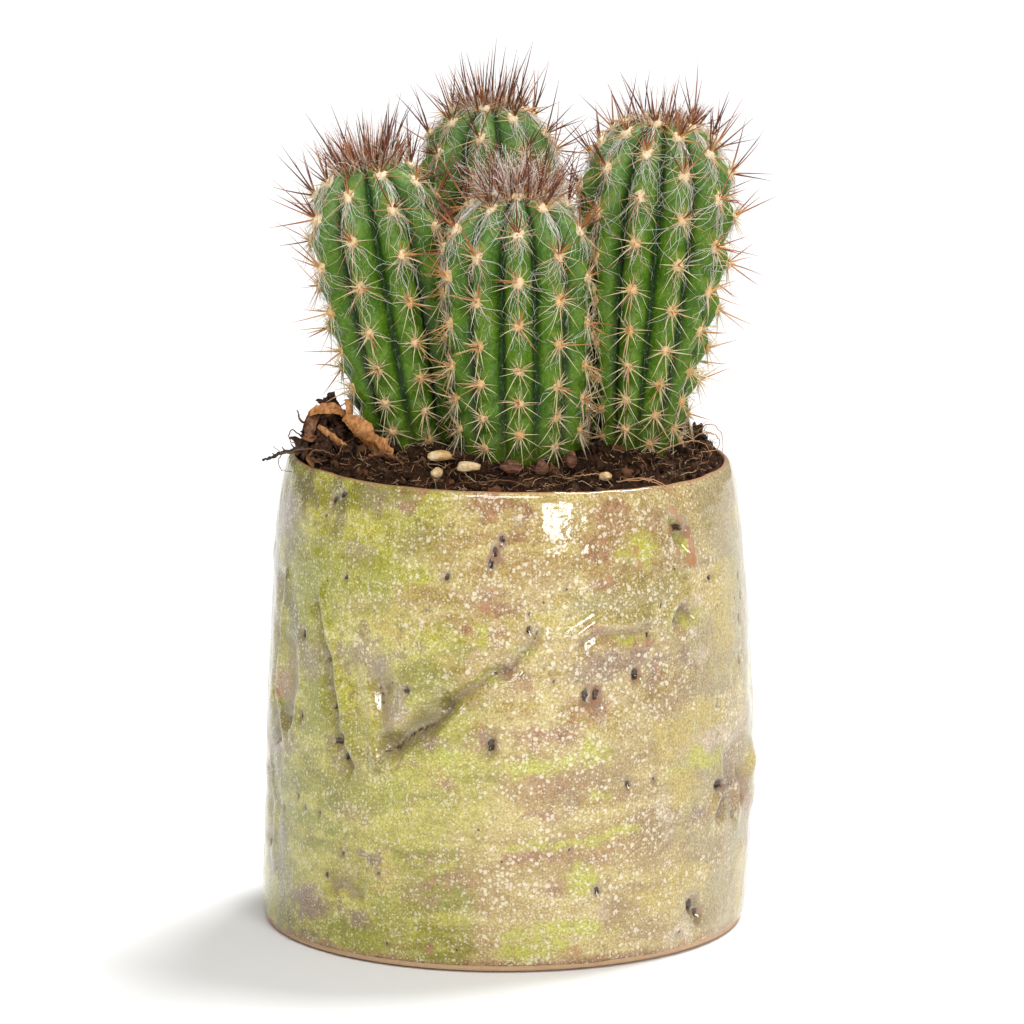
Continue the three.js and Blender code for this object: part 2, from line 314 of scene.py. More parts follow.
def icosphere(detail):
    # Points and triangles of a unit sphere.
    gold = (1 + 5**0.5) / 2
    corners = [(-1, gold, 0), (1, gold, 0), (-1, -gold, 0), (1, -gold, 0)]
    corners += [(0, -1, gold), (0, 1, gold), (0, -1, -gold), (0, 1, -gold)]
    corners += [(gold, 0, -1), (gold, 0, 1), (-gold, 0, -1), (-gold, 0, 1)]
    faces = [(0, 11, 5), (0, 5, 1), (0, 1, 7), (0, 7, 10), (0, 10, 11), (1, 5, 9), (5, 11, 4)]
    faces += [(11, 10, 2), (10, 7, 6), (7, 1, 8), (3, 9, 4), (3, 4, 2), (3, 2, 6), (3, 6, 8)]
    faces += [(3, 8, 9), (4, 9, 5), (2, 4, 11), (6, 2, 10), (8, 6, 7), (9, 8, 1)]
    points = [np.array(corner, float) for corner in corners]
    for _ in range(detail):
        middles = {}
        finer = []
        for a, b, c in faces:
            cut = []
            for pair in ((a, b), (b, c), (c, a)):
                key = tuple(sorted(pair))
                if key not in middles:
                    middles[key] = len(points)
                    ends = [points[corner] / np.linalg.norm(points[corner]) for corner in pair]
                    points.append((ends[0] + ends[1]) / 2)
                cut.append(middles[key])
            finer += [(a, cut[0], cut[2]), (b, cut[1], cut[0]), (c, cut[2], cut[1]), tuple(cut)]
        faces = finer
    return unit(np.array(points)), np.array(faces)


spheres = {detail: icosphere(detail) for detail in (0, 1, 2, 3)}


class Shader:
    # A short way to write a node material: each call adds nodes and returns the main output.
    def __init__(self, name):
        self.material = bpy.data.materials.new(name)
        self.material.use_nodes = True
        self.tree = self.material.node_tree
        self.tree.nodes.clear()
        self.place = self.node("TexCoord").outputs["Object"]

    def node(self, kind, settings=None, **inputs):
        made = self.tree.nodes.new("ShaderNode" + kind)
        for key, value in (settings or {}).items():
            setattr(made, key, value)
        for key, value in inputs.items():
            # i0, i1 and so on pick an input by its place, and other keys pick it by its name
            socket = made.inputs[int(key[1:]) if key[1:].isdigit() else key.replace("_", " ")]
            if isinstance(value, bpy.types.NodeSocket):
                self.tree.links.new(value, socket)
            elif socket.type == "RGBA" and len(value) == 3:
                socket.default_value = (*value, 1)
            else:
                socket.default_value = value
        return made

    def mark(self, name):
        return self.node("Attribute", {"attribute_name": name}).outputs["Fac"]

    def stretch(self, x, y, z):
        return self.node("Mapping", Vector=self.place, Scale=(x, y, z)).outputs["Vector"]

    def noise(self, size, detail, rough, bend=0.0, where=None):
        made = self.node("TexNoise", Vector=where or self.place, Scale=1 / size, Detail=detail,
                         Roughness=rough, Distortion=bend)
        return made.outputs["Fac"]

    def cells(self, size, where=None):
        made = self.node("TexVoronoi", Vector=where or self.place, Scale=1 / size)
        return made.outputs["Distance"], made.outputs["Color"]

    def fleck(self, size, wander, radius, threshold):
        # Ragged dots, one in each cell whose random tone passes the threshold.
        def vector(operation, **inputs):
            return self.node("VectorMath", {"operation": operation}, **inputs).outputs[0]

        wobble = self.node("TexNoise", Vector=self.place, Scale=0.35 / wander, Detail=2.0)
        shift = vector("SUBTRACT", i0=wobble.outputs["Color"], i1=(0.5, 0.5, 0.5))
        where = vector("ADD", i0=self.place, i1=vector("SCALE", i0=shift, Scale=1.6 * wander))
        away, tone = self.cells(size, where)
        reach = self.span(self.axis("Y", tone), 0, 1, radius * 0.6, radius * 1.25)
        inside = self.span(self.math("SUBTRACT", reach, away), -0.05, 0.06)
        return self.math("MULTIPLY", inside, self.math("GREATER_THAN", self.axis("X", tone), threshold))

    def math(self, operation, a, b):
        return self.node("Math", {"operation": operation}, i0=a, i1=b).outputs[0]

    def times(self, a, b):
        return self.math("MULTIPLY", a, b)

    def plus(self, a, b):
        return self.math("ADD", a, b)

    def larger(self, a, b):
        return self.math("MAXIMUM", a, b)

    def span(self, value, low, high, start=0.0, end=1.0):
        made = self.node("MapRange", {"interpolation_type": "SMOOTHSTEP"}, Value=value,
                         From_Min=low, From_Max=high, To_Min=start, To_Max=end)
        return made.outputs[0]

    def axis(self, letter, where=None):
        return self.node("SeparateXYZ", Vector=where or self.place).outputs[letter]

    def blend(self, factor, a, b, mode="MIX"):
        made = self.node("Mix", {"data_type": "RGBA", "blend_type": mode}, i0=factor, i6=a, i7=b)
        return made.outputs[2]

    def ramp(self, value, low, high, a, b, most=1.0, mode="MIX"):
        # From colour a towards b as the value goes from low to high, by at most this share.
        return self.blend(self.span(value, low, high, 0.0, most), a, b, mode)

    def bump(self, height, strength, distance, under=None):
        inputs = {"Height": height, "Strength": strength, "Distance": distance}
        if under:
            inputs["Normal"] = under
        return self.node("Bump", None, **inputs).outputs[0]

    def finish(self, **inputs):
        surface = self.node("BsdfPrincipled", None, **inputs).outputs[0]
        self.node("OutputMaterial", Surface=surface)
        return self.material


print("tools ready")

# pot

pot = {
    "height": 94.0,  # millimetres, as every length in this dictionary
    "lean": 1.25,
    "rimTilt": 0.018,
    "mouth": 42.6,
    "meanRadius": 48.5,
    # height and radius up the outside
    "outside": [(0, 48.1), (2, 48.5), (5, 48.8), (17, 49.1), (31, 49.4), (46, 48.9), (60, 48.0),
                (73, 47.2), (82, 46.3), (88, 45.4), (92, 44.5), (94, 43.8)],
    "wallSpan": (2.2, 91.6),  # heights between the foot and the lip
    "rows": 130,
    "frontHalf": 92,  # degrees to each side that have the finer columns
    "frontColumns": 400,
    "backColumns": 170,
    "swell": 0.30,  # uneven throwing
    "ripple": 0.10,
    "dimples": 0.09,
    # folds in the clay: path of (degrees round, height), depth, half width, ridge beside it, its offset
    "folds": [
        ([(-30, 42.5), (-26, 43.6), (-22, 46.5), (-18, 49), (-14, 51.5)], 1.5, 1.25, 0.9, -2.3),
        ([(-14, 51.5), (-12, 53.6), (-7, 56), (-4, 58.6), (-1, 59.6)], 1.5, 0.6, 1.1, -2.2),
        ([(-1, 59.6), (2, 62), (5, 64), (7, 66.5)], 0.6, 0.6, 0.3, -1.6),
        ([(-34, 59), (-32, 54.5), (-31, 49.5), (-30, 44)], 0.8, 1.3, 0.4, -2.6),
        ([(-52, 69), (-51, 65), (-49, 61), (-48, 58), (-47, 53), (-44, 47), (-43, 42.5), (-39, 39)],
         1.1, 0.8, 0.5, 2.2),
        ([(-71, 71), (-72, 63), (-74, 54), (-74, 48), (-69, 40)], 0.9, 1.4, 0.4, 3.0),
        ([(-63, 60), (-62, 52), (-64, 44)], 0.6, 1.5, 0.3, 3.0),
        ([(-78, 32), (-74, 26), (-75, 18)], 0.6, 1.6, 0.3, 3.0),
        ([(17, 65.3), (20, 66.7), (29, 66.8), (35, 67.4)], 0.7, 0.6, 0.5, 1.5),
        ([(43, 67.7), (46, 69.2), (48, 68)], 1.2, 0.8, 0.4, 1.6),
        ([(-37, 12.5), (-41, 14), (-44, 13.6)], 0.8, 1.2, 0.3, 2.4),
        ([(60, 37), (62, 31), (58, 27)], 1.0, 1.3, 0.7, -2.6),
        ([(68, 33), (70, 27)], 0.9, 1.3, 0.6, -2.4),
        ([(110, 70), (118, 64), (121, 55), (130, 48)], 1.0, 0.9, 0.6, -2.2),
        ([(-120, 40), (-126, 33), (-139, 29), (-150, 31)], 1.2, 0.9, 0.7, 2.4),
        ([(165, 24), (172, 30), (182, 31)], 0.9, 1.0, 0.5, 2.4),
        ([(190, 72), (184, 66), (186, 58)], 0.8, 1.0, 0.4, 2.4),
    ],
    # pits where the glaze pulled back: degrees round, height, radius, how brown its rim is
    "pits": [
        (-49, 89.2, 0.9, 0.2), (-46, 90.6, 0.8, 0.2), (-60, 90.4, 0.35, 0), (-55, 87.2, 0.4, 0),
        (-51, 85.7, 0.4, 0), (-43, 75.3, 0.55, 0), (-15, 77.8, 0.7, 0.1), (-2, 85.5, 0.8, 0.7),
        (-3.5, 83, 0.9, 0.7), (-5, 80.8, 0.75, 0.7), (-58, 61.6, 0.6, 0), (-48, 59, 0.95, 0.1),
        (-58, 46.2, 0.6, 0), (-46, 49.2, 0.6, 0), (-25, 54.5, 0.65, 0.3), (-44, 42.8, 1.1, 0.3),
        (-42, 43.3, 0.8, 0.5), (-41, 39.8, 0.7, 0), (-58, 29.8, 0.5, 0), (-65, 25.6, 0.4, 0),
        (-55, 28.4, 0.4, 0), (-50, 28, 0.5, 0), (-42, 20.5, 0.6, 0), (-46, 16, 0.5, 0),
        (-31, 17.6, 0.5, 0), (-5, 45.3, 1.2, 0.6), (-28, 4.2, 0.5, 0), (18, 54.6, 1.1, 0.8),
        (20.8, 54.5, 1.2, 0.8), (31, 57.9, 1.0, 0.7), (34, 65.7, 0.4, 0), (38, 71, 0.3, 0),
        (5, 70.4, 0.4, 0.3), (5, 67.3, 0.7, 0.3), (57, 74.2, 0.7, 0), (72, 72, 0.4, 0),
        (73, 68, 0.4, 0), (71, 63.7, 0.4, 0), (66, 57.5, 0.35, 0), (69, 55.9, 0.4, 0),
        (46.5, 84.4, 1.4, 0.9), (57.5, 32.4, 1.1, 0.3), (65, 25.6, 0.5, 0), (50, 8.9, 1.5, 0.2),
        (53, 7.4, 1.2, 0.6), (21, 15.8, 0.6, 0.5), (28, 36.6, 0.6, 0.4), (35, 36.7, 0.5, 0.2),
        (14, 24.5, 0.4, 0), (45, 4.4, 0.4, 0), (10, 57.6, 0.4, 0), (102, 60, 0.9, 0.5),
        (118, 36, 1.2, 0.5), (141, 74, 0.8, 0.2), (160, 50, 1.0, 0.4), (178, 62, 0.7, 0.3),
        (-168, 44, 1.1, 0.6), (-150, 70, 0.8, 0.2), (-133, 18, 0.9, 0.3), (-112, 58, 0.8, 0.3),
        (-95, 72, 0.6, 0.1), (96, 20, 0.8, 0.4), (-104, 12, 0.7, 0.3),
    ],
    # soft dents and lumps: degrees round, height, half width, half height, rise
    "lumps": [
        (-40, 57, 7, 6, -0.7), (-58, 52, 6, 9, -0.5), (-14, 46, 5, 4, 0.6), (22, 53, 5, 3.4, -0.8),
        (36, 58, 4, 4, -0.5), (62, 31, 8, 7, -0.7), (76, 34, 3.2, 3.2, 1.3), (80, 28, 6, 5, 0.7),
        (51, 8, 5, 4, -0.7), (-36, 13, 6, 4, -0.5), (46, 84, 4, 6, -0.4), (8, 82, 9, 7, 0.3),
        (-30, 52, 3, 6, -0.7), (84, 50, 4, 8, -0.4), (-84, 58, 5, 14, -0.5), (0, 66, 10, 5, 0.3),
        (125, 50, 9, 8, -0.7), (-140, 36, 8, 7, -0.6), (175, 70, 10, 8, 0.5), (-170, 20, 8, 5, -0.6),
    ],
    # rings where a bubble burst at the foot: degrees round, height, radius
    "rings": [(-18, 4.4, 1.6), (15.5, 3.8, 1.6), (140, 4.2, 1.5), (-130, 4.0, 1.4)],
    # the almond-shaped split under the rim: degrees round, height, half width, half height, lean
    "split": (46, 83.6, 2.5, 5.4, -0.42),
    # soft-edged clouds in the glaze: degrees round, height, half width, half height
    "patches": {
        "lime": [
            (-54, 73, 8, 8), (-33, 75, 7, 5), (-22, 78, 4, 2), (-9, 66, 2, 2.4), (-52, 50, 4, 6),
            (-5, 58, 4, 1.4), (29, 65, 4.4, 1), (3, 63, 3, 1.2), (45, 68, 3.3, 1.6), (33, 82, 5, 3.6),
            (8, 41, 10, 1.8), (20, 43, 4, 2), (21, 35, 3.3, 1.4), (12, 26, 9, 1.8), (24, 27, 5.3, 1.6),
            (16, 19, 3.6, 2.8), (4, 5.3, 5, 1.8), (16, 7.7, 8, 1.8), (51, 39, 7.7, 2.2),
            (-55, 27, 6, 2), (-45, 26, 7, 1.8), (-38, 5, 8.6, 2.2), (-22, 6.7, 3, 1.4),
            (-30, 13, 2.7, 1.5), (-14, 43.5, 2, 2.4), (-27, 35, 2.6, 2.8), (-16, 20, 2.4, 1.6),
        ],
        "pink": [
            (-5, 91, 3.5, 2), (0, 84, 2, 3.2), (-3, 73, 4, 2.8), (-10, 67, 3.5, 1), (-3, 66, 2.7, 2),
            (1, 58, 2.7, 2), (2, 91, 2.3, 1.8), (27, 90, 5.2, 2.8), (23, 83, 3.8, 2), (23, 76, 3, 1.8),
            (31, 84, 8, 6), (20, 67, 3, 1), (31, 63.4, 3.6, 1), (18, 52, 4.5, 2.8), (8, 47, 6, 2.4),
            (9, 37, 7, 2.8), (8, 31, 4.3, 1.2), (7, 24, 6.3, 1.3), (23, 23, 6.3, 1.1), (9, 17, 4, 2.2),
            (-15, 13, 2.8, 1.6), (-13, 18, 4.8, 2), (-19, 23, 2.1, 1.3), (-14, 37, 2, 1.3),
            (-7, 46, 2.3, 2.4), (-26, 92, 3, 1.6), (-54, 11, 2.6, 2.4),
        ],
        "grape": [
            (24, 61, 9.6, 3.6), (37, 58, 4, 3.6), (46, 60, 3.4, 2.4), (14, 34, 2, 1.5),
            (-37, 9, 3.4, 1.8), (-34, 22, 2.3, 1.2), (61, 31, 4, 4.4), (47, 28, 2.8, 2.4),
            (-52, 9, 6.3, 2.8), (-18, 45, 2, 1.4),
        ],
        "milk": [
            (-35, 91, 7, 3.2), (-54, 57.5, 6, 5), (-36, 60.4, 6.2, 4), (-38, 79.5, 4, 2),
            (-28, 53, 2.2, 4.4), (55, 41, 10, 2.4), (38, 30, 2, 4), (40, 25.5, 1.8, 1.6),
            (51, 71, 2.2, 1.8), (50, 65, 2, 2), (51, 59, 2.5, 2.4), (24, 11.3, 3, 3.2),
            (46, 3.7, 5, 1.8), (21, 51, 2, 2.8), (2, 89, 1.6, 1.6),
        ],
        "gold": [
            (-26, 71, 3, 8), (-14, 60.6, 4.4, 2.4), (61, 66, 5.6, 12), (43, 44, 8, 5), (43, 34, 4, 4),
            (43, 15.6, 8, 3.6), (35, 12.3, 5.2, 2.8), (-28, 17.2, 3.5, 4.4), (-16, 39, 4, 2.4),
            (-28, 22, 3, 2), (50, 48.4, 5.4, 3.6),
        ],
        "olive": [(32, 74, 11, 8), (-39, 39, 8, 4), (-22, 84, 6.3, 3), (22, 73, 6.3, 4)],
    },
}


def potRadius(height):
    return np.interp(height, *zip(*pot["outside"]))


def unrolled(degrees):
    # How far round the unrolled wall a direction lies.
    return math.radians(degrees) * pot["meanRadius"]


def onCylinder(angle, height):
    # Points to take the noise of the wall at.
    return np.stack(np.broadcast_arrays(50 * np.sin(angle), -50 * np.cos(angle), height), axis=-1)


def alongPath(path, across, height):
    # Distances of each point of the unrolled wall to a path: signed sideways, and past its ends.
    turns = np.array([(unrolled(degrees), level) for degrees, level in path])
    nearest = np.full(across.shape, 1e9)
    sideways = np.zeros(across.shape)
    for start, end in zip(turns[:-1], turns[1:]):
        step = end - start
        length = np.hypot(*step)
        du = across - start[0]
        dv = height - start[1]
        share = np.clip((du * step[0] + dv * step[1]) / length**2, 0, 1)
        reach = np.hypot(du - share * step[0], dv - share * step[1])
        lean = (step[0] * dv - step[1] * du) / length
        closer = reach < nearest
        nearest = np.where(closer, reach, nearest)
        sideways = np.where(closer, np.sign(lean) * np.minimum(np.abs(lean), reach), sideways)
    return sideways, np.sqrt(np.maximum(nearest**2 - sideways**2, 0))


def patchMark(places, across, height, seed):
    # How far inside any of the soft-edged patches each point of the wall is, from 0 to 1.
    spot = np.stack([across, height, 0 * across], axis=-1)
    across = across + 2.3 * roughNoise(spot, 5.5, 4, seed, 0.6)
    height = height + 1.5 * roughNoise(spot, 4.5, 4, seed + 9, 0.6)
    mark = np.zeros(across.shape)
    for degrees, level, wide, tall in places:
        away = np.hypot((across - unrolled(degrees)) / wide, (height - level) / tall)
        mark = np.maximum(mark, smooth(away, 1.9, 0.1))
    return mark


def backPatches(kind, count, random):
    # Patches of the same kind for the side that faces away.
    sizes = np.array(pot["patches"][kind])[:, 2:]
    for _ in range(count):
        wide, tall = sizes[random.integers(len(sizes))]
        degrees = random.choice([-1, 1]) * random.uniform(70, 180)
        yield degrees, random.uniform(4, 88), wide, tall


def wallFeatures(angle, height):
    # Rise of the wall in millimetres, and the marks that the glaze is coloured by.
    spot = onCylinder(angle, height)
    turned = angle * pot["meanRadius"]
    across = turned + 0.7 * roughNoise(spot, 5.0, 2, 81)
    level = height + 0.7 * roughNoise(spot, 5.0, 2, 83)
    rise = np.zeros(angle.shape)
    # the dark and shade marks carry painted shadow and painted shade for creases, pits and hollows
    marks = {label: np.zeros(angle.shape) for label in ("bare", "dark", "shade")}
    vary = 1 + 0.45 * noise(spot, 6.0, 7)

    def lift(label, values):
        marks[label] = np.maximum(marks[label], values)

    for path, depth, width, ridge, offset in pot["folds"]:
        sideways, past = alongPath(path, across, level)
        side = np.where(sideways * offset > 0, 1.0, 2.6)
        cut = np.exp(-np.abs(sideways / (width * side * vary)) ** 1.6) * hump(past, 1.2)
        rise -= 1.35 * depth * cut * vary
        crest = hump(sideways - offset * 0.8, 1.5) * hump(past, 2.5)
        rise += 1.5 * ridge * crest * vary
        # painted shadow: a dark line along each crease, and painted shade over the hollow beside it
        line = hump(sideways, 0.32 * width * vary) * hump(past, 0.8)
        lift("dark", 0.42 * line * smooth(vary, 0.7, 1.2) + 0.18 * line)
        lift("shade", 0.9 * cut * min(1, 0.5 + width / 2))
        lift("bare", 0.30 * crest * smooth(noise(spot, 2.0, 12), 0.0, 0.5))
    for degrees, place, radius, rim in pot["pits"]:
        stretch = 0.8 + 0.5 * ((degrees * 7.3 + place * 3.1) % 1)
        away = np.hypot((across - unrolled(degrees)) * stretch, (level - place) * 0.9 / stretch) / radius
        if away.min() > 6:
            continue
        away = away * (1 + 0.35 * noise(spot, 1.3, 15))
        rise -= 1.15 * radius * np.exp(-(away**2) * 0.8)
        rise += 0.12 * radius * hump(away - 1.7, 0.5)
        # painted shadow: the pit is painted dark, with painted shade round it
        lift("dark", smooth(away, 1.0, 0.5))
        lift("shade", 0.7 * smooth(away, 2.3, 1.0))
        lift("bare", rim * smooth(away, 1.9, 1.2) * smooth(noise(spot, 2.2, 13), -0.5, 0.4))
    for degrees, place, wide, tall, swelling in pot["lumps"]:
        du = (across - unrolled(degrees)) / wide
        rise += swelling * np.exp(-(du**2) - ((level - place) / tall) ** 2)
    for degrees, place, radius in pot["rings"]:
        away = np.hypot(turned - unrolled(degrees), height - place)
        ring = hump(away - radius, 0.35)
        rise += 0.25 * ring - 0.2 * smooth(away, radius, 0.2)
        lift("bare", 0.45 * ring)
        lift("bare", 0.36 * smooth(away, radius * 1.2, radius * 0.7))
    degrees, place, wide, tall, lean = pot["split"]
    dv = height - place
    du = turned - unrolled(degrees) - lean * dv
    almond = np.sqrt((du / wide) ** 2 + np.abs(dv / tall) ** 1.5)
    rise -= 1.6 * smooth(almond, 1.0, 0.3)
    rise += 0.5 * hump(almond - 1.15, 0.2)
    lips = hump(almond - 1.0, 0.17)
    lift("bare", lips * np.where(du > 0, 1.0, 0.55 + 0.3 * noise(spot, 1.5, 4)))
    marks["bare"] = np.where(almond < 0.8, 0.2, marks["bare"])
    random = np.random.default_rng(17)
    for number, (kind, places) in enumerate(pot["patches"].items()):
        whole = places + list(backPatches(kind, 26, random))
        marks[kind] = patchMark(whole, turned, height, 100 + 20 * number)
    lift("lime", smooth(almond, 0.95, 0.7))
    return rise, marks


def handmade(points):
    # The thrown body leans a little from its foot and its rim isn't level.
    up = points[..., 2] / pot["height"]
    points[..., 2] -= points[..., 0] * pot["rimTilt"] * up * up
    points[..., 0] += pot["lean"] * smooth(points[..., 2], 0, pot["height"] / 3)
    return points


def makePotMesh():
    side = pot["frontHalf"]
    front = np.linspace(-side, side, pot["frontColumns"], endpoint=False)
    back = np.linspace(side, 360 - side, pot["backColumns"], endpoint=False)
    angle = np.radians(np.concatenate([front, back]))
    levels = np.linspace(*pot["wallSpan"], pot["rows"])
    # radius, height and how much of the wall's unevenness each row takes
    foot = [(16, 0, 0), (34, 0, 0), (45.5, 0, 0), (47.2, 0, 0), (47.9, 0.2, 0), (48.2, 0.6, 0),
            (48.25, 0.9, 0), (48.2, 1.1, 0), (48.5, 1.4, 0.1), (48.6, 1.8, 0.3)]
    wall = [(potRadius(level), level, 1) for level in levels]
    lip = [(44.45, 92.1, 0.8), (44.3, 92.5, 0.6), (44.1, 92.9, 0.5), (43.85, 93.25, 0.4),
           (43.6, 93.5, 0.3), (43.35, 93.68, 0.2), (43.1, 93.76, 0.1), (42.9, 93.7, 0),
           (42.7, 93.4, 0), (42.6, 92.2, 0)]
    inner = [(43.2, 86, 0), (43.8, 74, 0), (44.4, 52, 0), (44.6, 30, 0), (43.6, 12, 0),
             (39.5, 6.2, 0), (25, 6, 0)]
    rows = np.array(foot + wall + lip + inner)
    radius, height, share = rows[:, 0:1], rows[:, 1:2], rows[:, 2:3]
    turn = np.where(angle > math.pi, angle - 2 * math.pi, angle)[None]
    rise, marks = wallFeatures(*np.broadcast_arrays(turn, height))
    around = onCylinder(turn, height)
    swell = pot["swell"] * roughNoise(around, 26, 3, 11)
    swell += pot["ripple"] * noise(around * np.array([0.12, 0.12, 1]), 3.2, 5)
    swell += pot["dimples"] * roughNoise(around, 3.4, 3, 3)
    edge = 0.3 * roughNoise(around, 14, 3, 21)
    reach = radius + (rise + swell) * share
    level = height + edge * smooth(height, 88, 93) * (share < 1) + 0 * turn
    points = np.stack([reach * np.sin(turn), -reach * np.cos(turn), level], axis=-1)
    points = handmade(points).reshape(-1, 3)
    poles = np.array([[0, 0, 0], [pot["lean"], 0, 6]])
    points = np.concatenate([poles[:1], points, poles[1:]]) * mm
    outside = (share > 0.05) * np.ones_like(turn)
    marks = {label: values * outside for label, values in marks.items()}
    # bare clay shows at the foot and along the lip
    footLine = 1.15 + 0.2 * roughNoise(around, 9, 3, 31)
    footBare = smooth(height, footLine + 0.25, footLine - 0.1)
    lipBare = smooth(height, 93.42, 93.66) + (share == 0) * (height > 60)
    thinFoot = smooth(height, 3.4 + 1.4 * roughNoise(around, 8, 3, 33), 1.2)
    marks["pink"] = np.maximum(marks["pink"], 0.9 * thinFoot)
    # a thin dark line where the glaze ends above the foot
    marks["dark"] = np.maximum(marks["dark"], 0.45 * hump(height - footLine - 0.25, 0.2))
    marks["bare"] = np.maximum(marks["bare"], np.clip(lipBare, 0, 1) * (1 - footBare))
    marks["clay"] = np.maximum(footBare, smooth(height, 1.0, 0.5)) + 0 * turn
    marks = {label: np.concatenate([[1], values.ravel(), [1]]) for label, values in marks.items()}
    return buildMesh("pot_body", points, lathedFaces(len(rows), len(angle)), marks)


def glazeMaterial():
    s = Shader("speckled_glaze")
    x = s.axis("X")
    flow = s.noise(0.011, 6, 0.62, 0.8, s.stretch(0.5, 0.5, 1.5))
    fine = s.noise(0.0026, 5, 0.65, 0.4)
    grain = s.noise(0.00042, 3, 0.6)
    broad = s.noise(0.02, 5, 0.6, 0.5)
    # broad zones from left to right: green, olive-tan, straw, then smooth pale lime
    across = s.plus(x, s.span(broad, 0.2, 0.8, -0.022, 0.022))
    green = s.ramp(flow, 0.36, 0.64, (0.30, 0.285, 0.026), (0.62, 0.57, 0.11))
    tan = s.ramp(flow, 0.36, 0.64, (0.47, 0.32, 0.13), (0.66, 0.54, 0.22))
    straw = s.ramp(flow, 0.36, 0.64, (0.40, 0.275, 0.13), (0.62, 0.49, 0.22))
    pale = s.ramp(broad, 0.4, 0.62, (0.37, 0.355, 0.16), (0.45, 0.36, 0.20))
    colour = s.ramp(across, -0.024, 0.0, green, tan)
    colour = s.ramp(across, 0.012, 0.032, colour, straw)
    edge = s.span(across, 0.034, 0.047)
    colour = s.blend(s.times(edge, 0.85), colour, pale)
    # painted shade: the glaze is painted dark brown towards the pot's left edge
    leftEdgeShade = s.span(across, -0.040, -0.049, 0, 0.7)
    colour = s.blend(leftEdgeShade, colour, (0.19, 0.155, 0.085))
    # clouds, each with a ragged edge
    ragged = s.plus(s.span(fine, 0.25, 0.75, -0.34, 0.34), s.span(flow, 0.3, 0.7, -0.28, 0.28))

    # painted shade and light: milk clouds are darker on the left side and lighter on the right, and lime
    # clouds turn darker to the left
    milkTone = s.ramp(x, -0.03, 0.0, (0.36, 0.29, 0.17), (0.68, 0.55, 0.42))
    pinkTone = s.ramp(fine, 0.4, 0.62, (0.46, 0.27, 0.17), (0.345, 0.165, 0.095))
    limeTone = s.ramp(fine, 0.35, 0.65, (0.50, 0.50, 0.055), (0.60, 0.58, 0.12))
    limeTone = s.ramp(x, -0.035, -0.005, (0.34, 0.35, 0.035), limeTone)
    clouds = [("gold", 0.15, 1.1, (0.60, 0.46, 0.13), 0.8), ("olive", 0.2, 1.2, (0.31, 0.265, 0.08), 0.7),
              ("milk", 0.15, 1.1, milkTone, 0.85), ("pink", 0.15, 1.1, pinkTone, 0.85),
              ("grape", 0.15, 1.1, (0.32, 0.215, 0.165), 0.9), ("lime", 0.1, 1.05, limeTone, 0.95)]
    for kind, low, high, tone, strength in clouds:
        colour = s.ramp(s.plus(s.mark(kind), ragged), low, high, colour, tone, strength)
    colour = s.ramp(fine, 0.54, 0.72, colour, (0.28, 0.18, 0.085), 0.55)
    colour = s.ramp(fine, 0.46, 0.30, colour, (0.66, 0.59, 0.29), 0.5)
    colour = s.ramp(grain, 0.35, 0.66, colour, (0.50, 0.44, 0.29), 0.8, "MULTIPLY")
    # white crystals: coarse and crowded in the middle, fine to the side, few at the pale edge
    crowd = s.noise(0.0065, 4, 0.65)
    coarse = s.span(across, -0.028, -0.008)
    flecks = s.fleck(0.0011, 0.0006, 0.34, s.span(crowd, 0.34, 0.66, 0.96, 0.35))
    flecks = s.times(flecks, coarse)
    middling = s.fleck(0.0008, 0.0004, 0.34, s.span(crowd, 0.30, 0.68, 0.92, 0.38))
    small = s.fleck(0.0005, 0.0002, 0.34, s.span(crowd, 0.3, 0.7, 0.75, 0.35))
    crystals = s.larger(flecks, s.times(middling, 0.85))
    crystals = s.larger(crystals, s.times(small, 0.8))
    crystals = s.times(crystals, s.math("SUBTRACT", 1.0, s.times(edge, 0.8)))
    whiteTone = s.blend(coarse, (0.74, 0.68, 0.46), (0.78, 0.70, 0.54))
    colour = s.blend(s.times(crystals, 0.72), colour, whiteTone)
    # terracotta shows where the glaze thinned
    thin = s.noise(0.0024, 4, 0.6, 0.4)
    pinkish = s.larger(s.mark("pink"), s.times(s.mark("grape"), 0.7))
    spots = s.times(s.span(thin, 0.585, 0.655), s.span(pinkish, 0.25, 0.7))
    bareEdge = s.plus(s.mark("bare"), s.span(thin, 0.35, 0.65, -0.22, 0.22))
    shown = s.larger(s.span(bareEdge, 0.35, 0.6), s.times(spots, 0.8))
    clay = s.mark("clay")
    colour = s.blend(s.times(shown, 0.8), colour, (0.44, 0.20, 0.10))
    clayTone = s.blend(s.noise(0.0012, 4, 0.7), (0.46, 0.27, 0.13), (0.66, 0.46, 0.27))
    colour = s.ramp(clay, 0.3, 0.7, colour, clayTone)
    # painted shade: the hollows of the folds and the ground round the pits are darkened, and holes are
    # painted near black as painted shadow
    hollowShade = s.ramp(fine, 0.35, 0.65, (0.17, 0.115, 0.080), (0.30, 0.22, 0.165))
    colour = s.blend(s.times(s.mark("shade"), 0.72), colour, hollowShade)
    # painted shadow: a scattering of pinholes is painted near black, besides the dent of their bump
    pin, pinTone = s.cells(0.0042)
    chosen = s.math("GREATER_THAN", s.axis("X", pinTone), 0.83)
    pinhole = s.times(s.span(pin, 0.075, 0.045), chosen)
    colour = s.blend(s.times(pinhole, 0.9), colour, (0.03, 0.015, 0.01))
